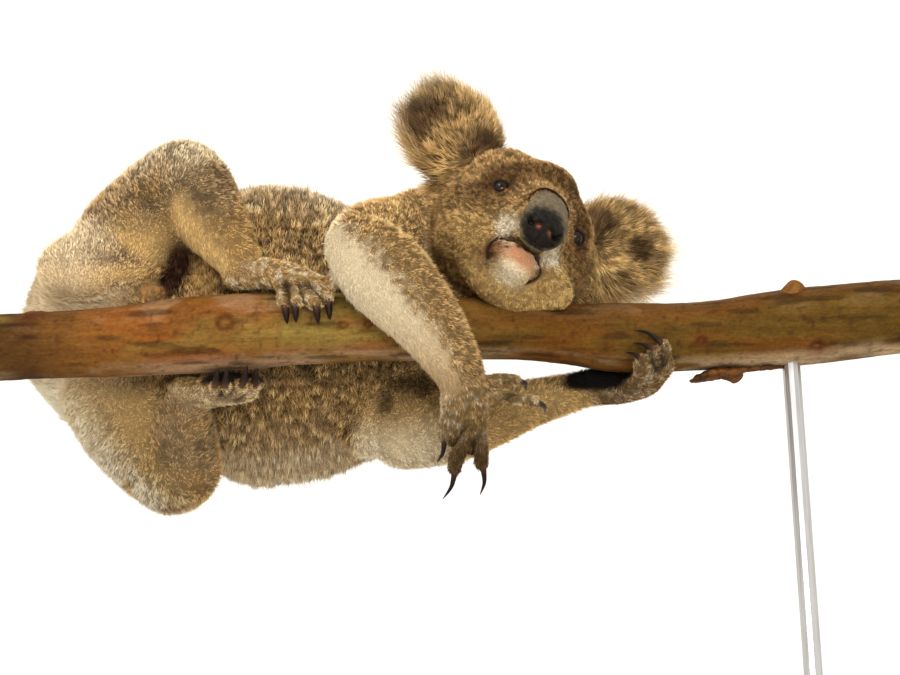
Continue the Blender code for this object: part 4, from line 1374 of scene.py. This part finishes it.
def nose():
    """The leathery pad, with comma-shaped nostrils, grey and dull above and black in front."""
    points, faces = swept(NOSE, 12, 80, (1, 0, 0), (0.8, 0.8))
    normal = normals_of(points, faces)
    if dot(normal, points - points.mean(0)).mean() < 0:
        normal = -normal
    front = ease(normal[:, 0], 0.05, 0.50)
    middle = np.hypot((points[:, 1] - 0.0012) / 0.0182, (points[:, 2] + 0.0245) / 0.0180)
    black = front * (1 - ease(middle + 0.22 * (noise(points, 0.0016, 7) - 0.5), 0.70, 1.12))
    grey = NOSE_GREY * (0.55 + 0.9 * noise(points * (1, 1, 2.2), 0.0018, 8, 2))[:, None]
    colour = mix(grey, NOSE_BLACK[None], black)
    dip = -0.00022 * blotches(points, 0.0016, 5, 0.35, 0.65, 1) - 0.00018 * noise(points, 0.004, 6)
    for sign in (1, -1):
        line = through(NOSTRIL, np.linspace(0, 3, 25)) * (sign, 1) + (0.0016, 0)
        away = np.full(len(points), np.inf)
        for place in line:
            away = np.minimum(away, np.linalg.norm(points[:, 1:] - place, axis=1))
        hole = np.exp(-((away / 0.0014) ** 2)) * front
        dip -= 0.0034 * hole
        dip += 0.0007 * np.exp(-(((away - 0.0028) / 0.0012) ** 2)) * front
        # Painted shade inside the nostrils
        colour = mix(colour, NOSE_BLACK * 0.25, hole)
        beside = np.linalg.norm(points[:, 1:] - (0.0016 + sign * 0.0052, -0.0262), axis=1)
        colour = mix(colour, NOSE_PINK, np.exp(-((beside / 0.0016) ** 2)) * front * 0.5)
    groove = np.exp(-(((points[:, 1] - 0.0016) / 0.0008) ** 2)) * ease(-points[:, 2], 0.020, 0.026) * front
    points = points + normal * (dip - 0.0009 * groove)[:, None]
    colour = mix(colour, colour * 1.7 + 0.01, blotches(points, 0.0012, 9, 0.55, 0.75, 1) * 0.5)
    obj = build("nose_pad", to_world(from_head(points)), faces)
    paint(obj.data, clamp(colour), clamp(0.80 - 0.54 * black))
    outward(obj)
    finished(obj, tinted("nose_leather", None, 1500.0, 0.0007, Specular_IOR_Level=0.08), "nose", "nose")


def nose_fold():
    """Painted shadow in the dark crease that arches over the pad, drawn on the skin as a tube."""
    count = 60
    turn = np.radians(np.linspace(12, 172, count))
    line = [np.full(count, 0.12), 0.0168 * np.cos(turn), -0.0105 + 0.0265 * np.sin(turn)]
    line = np.stack(line, -1)
    ahead = Vector(to_world(from_head(line[:1] - (1, 0, 0)))[0] - to_world(from_head(line[:1]))[0])
    tree = search_tree(skin_points, skin_triangles)
    line = np.array([tuple(tree.ray_cast(Vector(p), ahead)[0]) for p in to_world(from_head(line))])
    line = relaxed(line, np.stack([np.arange(count - 1), np.arange(1, count)], -1), 4)
    line = line - np.array(ahead) * 0.0010
    size = 0.0011 * np.sin(np.linspace(0.12, np.pi - 0.12, count)) ** 0.5
    grid = tube(line, 12, np.column_stack((size, size)), TURN @ FORWARD)
    points, faces = capped(grid, line[0], line[-1])
    tint = np.tile(LIP_AND_CREASE_SHADE * 0.35, (len(points), 1))
    closed_piece("nose_fold", points, faces, tint, tinted("fold", 0.8, Specular_IOR_Level=0.08), "nose")


IRIS = srgb(32, 16, 8)
IRIS_EDGE = srgb(16, 9, 6)
PUPIL = srgb(4, 3, 3)
LID = srgb(24, 14, 9)
CORNEA = 0.0004  # how far an eye bulges where it looks


def eyeball(side, sign, material):
    """A moist brown ball with an upright pupil."""
    centre, look, across, up = eye_axes(sign)
    angle = np.radians(np.concatenate([np.linspace(1, 75, 60), np.linspace(80, 175, 16)]))
    a, t = np.meshgrid(angle, circle(64), indexing="ij")
    flat = np.cos(t)[..., None] * across + np.sin(t)[..., None] * up
    radius = EYE_RADIUS + CORNEA * np.exp(-((np.degrees(a) / 24) ** 4))
    grid = centre + (np.cos(a)[..., None] * look + np.sin(a)[..., None] * flat) * radius[..., None]
    x, y = np.degrees(a) * np.cos(t), np.degrees(a) * np.sin(t)
    fleck = 0.75 + 0.5 * noise(np.stack([t * 3 + 9, a * 3, a * 0], -1), 0.35, 4)
    colour = mix(IRIS * fleck[..., None], IRIS_EDGE, ease(np.hypot(x, y), 22, 33))
    colour = mix(colour, PUPIL, 1 - ease(np.hypot(x / 5.5, y / 14), 0.85, 1.1))
    tint = np.concatenate([colour.reshape(-1, 3), [PUPIL, IRIS_EDGE]])
    points, faces = capped(grid, centre + look * (EYE_RADIUS + CORNEA), centre - look * EYE_RADIUS)
    closed_piece("eyeball_" + side, to_world(from_head(points)), faces, tint, material, "eye", "eye_" + side)


def eyelid(side, sign, material):
    """The dark rim round an eye, a little thicker above."""
    centre, look, across, up = eye_axes(sign)
    rings, sides = 96, 12
    turns, section = circle(rings), circle(sides)
    rim = opening(turns, sign) + 0.06
    flat = np.cos(turns)[:, None] * across + np.sin(turns)[:, None] * up
    way = np.cos(rim)[:, None] * look + np.sin(rim)[:, None] * flat
    loop = centre + way * (EYE_RADIUS + 0.0005)
    away = np.cross(way, unit(np.roll(loop, -1, 0) - np.roll(loop, 1, 0)))
    thick = 0.0008 + 0.0004 * np.maximum(np.sin(turns), 0)
    points = (
        loop[:, None]
        + way[:, None] * (np.cos(section)[None, :] * 0.0008)[..., None]
        + away[:, None] * (np.sin(section)[None, :] * thick[:, None])[..., None]
    ).reshape(-1, 3)
    r, s = np.meshgrid(np.arange(rings), np.arange(sides), indexing="ij")
    here, after = r * sides, (r + 1) % rings * sides
    next_side = (s + 1) % sides
    faces = np.stack([here + s, after + s, after + next_side, here + next_side], -1).reshape(-1, 4)
    tint = LID * (0.7 + 0.7 * noise(points, 0.0012, 12))[:, None]
    closed_piece("eyelid_" + side, to_world(from_head(points)), faces, tint, material, "nose")


def eyes():
    """Each eye's ball and lids."""
    ball_material = tinted("eye_ball", 0.05, Specular_IOR_Level=0.20)
    lid_material = tinted("eye_lid", 0.62, 1800.0, 0.0003, Specular_IOR_Level=0.12)
    for side, sign in (("left", 1), ("right", -1)):
        eyeball(side, sign, ball_material)
        eyelid(side, sign, lid_material)


def claws():
    """Each claw as a slim crescent through its solid's root, bend and point."""
    horn = tinted("claw_horn", 0.42, 900.0, 0.0002, Specular_IOR_Level=0.09)
    base, dark, tip = srgb(66, 44, 30), srgb(26, 16, 11), srgb(82, 54, 38)
    sides = 20
    for name in CLAWS:
        start, root, middle, end, half = claw_line(name)
        wide = 0.72
        if "foot" in name:
            end, half, wide = mix(middle, end, 0.50), half * 1.15, 0.95
        at = np.linspace(0, 3, 46)
        centres = through([start, root, middle, end], at)
        size = half * (1 - 0.95 * clamp((at - 1) / 2) ** 1.25)
        bend = unit(middle - (root + end) / 2)
        grid = tube(centres, sides, np.column_stack((size * wide, size)), bend)
        share = np.repeat(at / 3, sides)
        tint = mix(base[None], dark[None], ease(share, 0.15, 0.55))
        tint = mix(tint, tip, ease(share, 0.80, 1.0) * 0.7)
        point = centres[-1] + unit(centres[-1] - centres[-2]) * 0.0003
        points, faces = capped(grid, centres[0], point)
        tint = np.concatenate([tint, [base, tip]]) * (0.75 + 0.5 * noise(points, 0.0014, 33))[:, None]
        closed_piece(name.replace("claw_", "nail_"), points, faces, tint, horn, "claw", name)


nose()
nose_fold()
eyes()
claws()


# ---------------------------------------------------------------- branch and stand

BARK_ALONG = [  # x, and the bark's colour there on the side that shows
    (-0.350, srgb(88, 60, 24)),
    (-0.300, srgb(96, 64, 28)),
    (-0.254, srgb(136, 91, 38)),
    (-0.160, srgb(136, 86, 34)),
    (-0.072, srgb(142, 108, 56)),
    # This colour, under the head, holds painted shadow of the head over the bark's own brown
    (0.072, srgb(110, 70, 20)),
    (0.145, srgb(114, 76, 28)),
    (0.217, srgb(108, 68, 20)),
    (0.350, srgb(102, 70, 20)),
]
BARK_GAIN = 0.62  # the bark lies open to the lamps
ORANGE, OLIVE, GREEN = srgb(146, 74, 26), srgb(100, 78, 28), srgb(148, 128, 64)
ASH, DARK_BARK, WOOD = srgb(186, 160, 126), srgb(48, 30, 16), srgb(196, 160, 112)
STUB_BROWN, FLAKE_LIGHT, FLAKE_DARK = srgb(110, 74, 36), srgb(100, 62, 30), srgb(62, 42, 24)
KNOTS = [  # x, y, radius on the side that shows
    (-0.1595, 0.0105, 0.0075),
    (-0.0760, 0.0090, 0.0040),
    (-0.0580, 0.0095, 0.0036),
    (0.1790, -0.0020, 0.0042),
    (0.2610, -0.0055, 0.0050),
    (-0.3000, 0.0150, 0.0045),
]
STUB = [  # of a lost twig on top of the branch: x, y, z, half side, front and back
    (0.2460, 0.0280, 0.0040, 0.0100, 0.0100, 0.0100),
    (0.2485, 0.0335, 0.0052, 0.0078, 0.0080, 0.0080),
    (0.2500, 0.0360, 0.0060, 0.0070, 0.0070, 0.0070),
]
FLAKE = [  # the strip of loose bark: x, y, z, half its thickness and half its width
    (0.1740, -0.0312, 0.0082, 0.0016, 0.0040),
    (0.1800, -0.0290, 0.0085, 0.0034, 0.0070),
    (0.1950, -0.0262, 0.0085, 0.0036, 0.0090),
    (0.2045, -0.0272, 0.0085, 0.0052, 0.0090),
    (0.2105, -0.0236, 0.0080, 0.0024, 0.0085),
    (0.2270, -0.0220, 0.0070, 0.0016, 0.0060),
    (0.2430, -0.0212, 0.0060, 0.0009, 0.0035),
]


def bark_colour(grid, away, crack):
    """Streaks and patches along the branch, orange and green to the left, with an ashy underside that past x
    0.13 also holds painted highlight.
    """
    x = grid[..., 0]
    colour = np.stack([np.interp(x, *zip(*((at, c[k]) for at, c in BARK_ALONG))) for k in range(3)], -1)
    patch = noise(grid * (0.35, 1, 1), 0.020, 44, 3)
    other = noise(grid * (0.30, 1, 1) + 7, 0.017, 45, 3)
    left = ease(-x, -0.05, 0.02)
    low, high = ease(-away[..., 1], 0.1, 0.75), ease(away[..., 1], 0.25, 0.8)
    orange = left * ease(x, -0.320, -0.235) * ease(patch, 0.46, 0.62)
    colour = mix(colour, ORANGE, orange * (0.35 + 0.6 * low))
    green = left * ease(other, 0.52, 0.66) * (1 - low)
    colour = mix(colour, GREEN, green * np.where(x < -0.12, 0.55, 0.85))
    colour = mix(colour, OLIVE, (1 - left) * ease(other, 0.50, 0.66) * 0.7)
    # Ash-grey underside; stronger past x 0.13, where it is painted highlight as well
    ash = ease(-away[..., 1], 0.45, 0.85) * ease(patch, 0.36, 0.54)
    colour = mix(colour, ASH, ash * np.where(x > 0.13, 1.0, 0.7))
    ash = high * blotches(grid * (0.4, 1, 1), 0.012, 46, 0.50, 0.64)
    colour = mix(colour, ASH, ash * np.where(x > 0.0, 0.12, 0.35))
    colour = mix(colour, DARK_BARK, crack * 0.55)
    return mix(colour, DARK_BARK, blotches(grid, 0.0030, 47, 0.70, 0.86, 1) * 0.45)


def sawn_end(ring, centre, sign):
    """Rings of points and tints over a sawn end, from the bark's last ring inwards."""
    shrink = np.linspace(0.985, 0.06, 12)
    disc = centre + (ring - centre)[None] * shrink[:, None, None]
    disc[..., 0] += sign * 0.0006 * (1 - shrink**8)[:, None]
    year = 0.5 + 0.5 * np.sin(shrink * 95)
    shade = WOOD[None, None] * (0.62 + 0.38 * year)[:, None, None]
    shade = shade * (0.85 + 0.3 * noise(disc * 4, 0.01, 48))[..., None]
    return disc, mix(shade, DARK_BARK, ease(shrink, 0.93, 0.975)[:, None])


def knotted(grid, relief, colour):
    """The relief and the colour with the knots: a raised ring round a hollow, dark inside."""
    for x, y, radius in KNOTS:
        off = np.hypot((grid[..., 0] - x) * 0.75, grid[..., 1] - y) / radius
        off = np.where(grid[..., 2] > 0, off, np.inf)
        ring, hollow = np.exp(-(((off - 0.95) / 0.40) ** 2)), np.exp(-((off / 0.55) ** 2))
        relief = relief + (0.0014 * ring - 0.0016 * hollow)
        colour = mix(colour, DARK_BARK, np.exp(-(((off - 0.55) / 0.25) ** 2)) * 0.75)
        colour = mix(colour, ORANGE * 0.8, np.exp(-((off / 1.5) ** 2)) * 0.35)
    return relief, colour


def bark():
    """The branch: smooth gum bark in streaks of colour, with knots, and sawn ends that show their rings."""
    rings, sides = 430, 112
    rows = through(BRANCH, np.linspace(0, len(BRANCH) - 1, rings))
    centres = np.column_stack((rows[:, 0], rows[:, 1], np.zeros(rings)))
    grid = tube(centres, sides, rows[:, 2:4], (0, 0, 1))
    away = unit(grid - centres[:, None])
    long = grid * (0.16, 1, 1)
    relief = 0.0010 * (noise(grid, 0.045, 40, 2) - 0.5)
    relief += 0.0007 * (noise(long, 0.006, 41, 2) - 0.5)
    relief += 0.0003 * (noise(grid, 0.0035, 42) - 0.5)
    crack = blotches(long + 3, 0.0048, 43, 0.66, 0.78, 1)
    relief -= 0.0004 * crack
    relief, colour = knotted(grid, relief, bark_colour(grid, away, crack))
    grid = grid + away * relief[..., None]
    mottle = noise(grid * (0.5, 1, 1), 0.0040, 60, 2) + 0.8 * noise(grid, 0.011, 61, 2)
    colour = colour * (BARK_GAIN * (0.62 + 0.42 * mottle))[..., None]
    first, first_tint = sawn_end(grid[0], centres[0], -1)
    last, last_tint = sawn_end(grid[-1], centres[-1], 1)
    grid = np.concatenate([first[::-1], grid, last])
    colour = np.concatenate([first_tint[::-1], colour, last_tint])
    branch = capped(grid, grid[0].mean(0), grid[-1].mean(0))
    stub = swept(STUB, 8, 40, (0, 0, 1), (0.6, 0.7))
    stub_tint = STUB_BROWN * (0.7 + 0.6 * noise(stub[0], 0.004, 49, 2))[:, None]
    tint = np.concatenate([colour.reshape(-1, 3), [WOOD * 0.6, WOOD * 0.6], stub_tint])
    points, faces = joined([branch, stub])
    closed_piece("bark", to_world(points), faces, clamp(tint), bark_material("gum_bark"), "bark", "branch")


def multiplied(tree, shader, a, b):
    """Gives the shader one colour multiplied by another."""
    tree.links.new(blended(tree, a, b), shader.inputs["Base Color"])


def bark_material(name):
    """Bark: the piece's tint, broken by fine grains and streaks."""
    made, tree, shader = shader_nodes(name, 0.75, Specular_IOR_Level=0.07)
    tint = add(tree, "ShaderNodeAttribute", attribute_name="tint")
    grains = texture(tree, "ShaderNodeTexNoise", 520.0, (0.6, 1, 1), Detail=5.0, Roughness=0.7)
    streaks = texture(tree, "ShaderNodeTexNoise", 190.0, (0.10, 1, 1), Detail=6.0, Roughness=0.65)
    fine = ramp(tree, grains.outputs["Fac"], ((0.38, (0.80, 0.77, 0.72)), (0.62, (1.14, 1.13, 1.12))))
    long = ramp(tree, streaks.outputs["Fac"], ((0.36, (0.80, 0.77, 0.72)), (0.60, (1.10, 1.09, 1.08))))
    multiplied(tree, shader, tint.outputs["Color"], blended(tree, fine, long))
    bump(tree, shader, grains.outputs["Fac"], 0.0012)
    return made


def flake():
    """A strip of loose bark that curls away under the branch."""
    rings, sides = 90, 48
    rows = through(FLAKE, np.linspace(0, len(FLAKE) - 1, rings))
    wave = noise(rows[:, :3] * (1, 0, 0), 0.004, 50, 2) - 0.5
    centres = rows[:, :3] + np.column_stack((wave * 0, wave * 0.0012, wave * 0.003))
    grid = tube(centres, sides, rows[:, 3:] * (1 + 0.7 * wave)[:, None], (0, 0, 1))
    grid += ((noise(grid, 0.003, 51, 2) - 0.5) * 0.0012)[..., None]
    grid[..., 1] += ((grid[..., 2] - centres[:, None, 2]) / 0.010) ** 2 * 0.0020
    tint = mix(FLAKE_LIGHT[None], FLAKE_DARK[None], blotches(grid, 0.005, 52, 0.35, 0.65).reshape(-1))
    tint = np.concatenate([tint, tint[:1], tint[-1:]])
    points, faces = capped(grid, centres[0] - (0.001, 0, 0), centres[-1] + (0.001, 0, 0))
    material = bark_material("loose_bark_fibre")
    closed_piece("loose_bark", to_world(points), faces, tint, material, "bark", "branch_bark_flake")


def stand():
    """Turned wood and brushed steel for the stand's own solids."""
    wood, tree, shader = shader_nodes("oak", 0.5, Coat_Weight=0.25, Coat_Roughness=0.35)
    figure = {"Detail": 6.0, "Roughness": 0.62, "Distortion": 0.4}
    grain = texture(tree, "ShaderNodeTexNoise", 5.0, (0.22, 7.0, 7.0), **figure)
    pores = texture(tree, "ShaderNodeTexNoise", 160.0, (0.05, 1, 1), Detail=5.0)
    browns = ((0.32, srgb(92, 62, 38)), (0.50, srgb(126, 90, 58)), (0.66, srgb(150, 112, 76)))
    tone = ramp(tree, grain.outputs["Fac"], browns)
    fleck = ramp(tree, pores.outputs["Fac"], ((0.40, (0.66, 0.60, 0.54)), (0.60, (1, 1, 1))))
    multiplied(tree, shader, tone, fleck)
    bump(tree, shader, pores.outputs["Fac"], 0.0004)
    wear(nodes["stand_base"], wood)
    steel, tree, shader = shader_nodes("brushed_steel", 0.34, Metallic=1.0)
    brushed = texture(tree, "ShaderNodeTexNoise", 60.0, (14, 14, 0.5), Detail=3.0)
    greys = ((0.3, (0.42, 0.42, 0.43)), (0.7, (0.56, 0.56, 0.57)))
    tree.links.new(ramp(tree, brushed.outputs["Fac"], greys), shader.inputs["Base Color"])
    bump(tree, shader, brushed.outputs["Fac"], 0.0001)
    for side in ("left", "right"):
        wear(nodes["stand_rod_" + side], steel)


bark()
flake()
stand()


# ---------------------------------------------------------------- camera, light and floor


def lamp(name, place, size, power, colour):
    """A square area light that shines at the perch."""
    data = bpy.data.lights.new(name, "AREA")
    data.shape, data.size, data.size_y = "RECTANGLE", size, size
    data.energy, data.color = power, colour
    obj = placed(name, data)
    obj.location = place
    obj.rotation_euler = (Vector(PERCH) - Vector(place)).to_track_quat("-Z", "Y").to_euler()


def floor():
    """A plain pale floor."""
    far = 9.0
    corners = np.array(((-far, -far, 0), (far, -far, 0), (far, far, 0), (-far, far, 0)))
    obj = build("floor", corners, np.array(((0, 1, 2, 3),)))
    material, tree, shader = shader_nodes("floor_paper", 0.9)
    speck = texture(tree, "ShaderNodeTexNoise", 9.0, Detail=4.0)
    greys = ((0.35, (0.80, 0.80, 0.79)), (0.65, (0.83, 0.83, 0.82)))
    tree.links.new(ramp(tree, speck.outputs["Fac"], greys), shader.inputs["Base Color"])
    wear(obj, material)


floor()
scene.view_settings.view_transform = "Standard"
world = bpy.data.worlds.new("studio")
scene.world = world
world.use_nodes = True
around = world.node_tree.nodes["Background"]
around.inputs["Color"].default_value = (1.0, 0.955, 0.88, 1)
around.inputs["Strength"].default_value = 1.2

VIEW = np.array((0, math.cos(LEAN), math.sin(LEAN)))  # the camera looks up, square to the perch's frame
DISTANCE = 1.25
lens = bpy.data.cameras.new("camera")
lens.sensor_width, lens.lens = 36, 68.96
lens.clip_start = 0.05
camera = placed("camera", lens)
camera.location = PERCH - DISTANCE * VIEW
camera.rotation_euler = (TURNED, 0, 0)
scene.camera = camera
lamp("key", (-0.8, -1.5, 1.9), 0.5, 22, (1, 0.97, 0.92))
lamp("fill", (0.2, -1.8, 0.12), 0.9, 34, (1, 0.96, 0.90))
lamp("back", (0.3, 1.3, 2.0), 1.2, 16, (1, 0.98, 0.95))
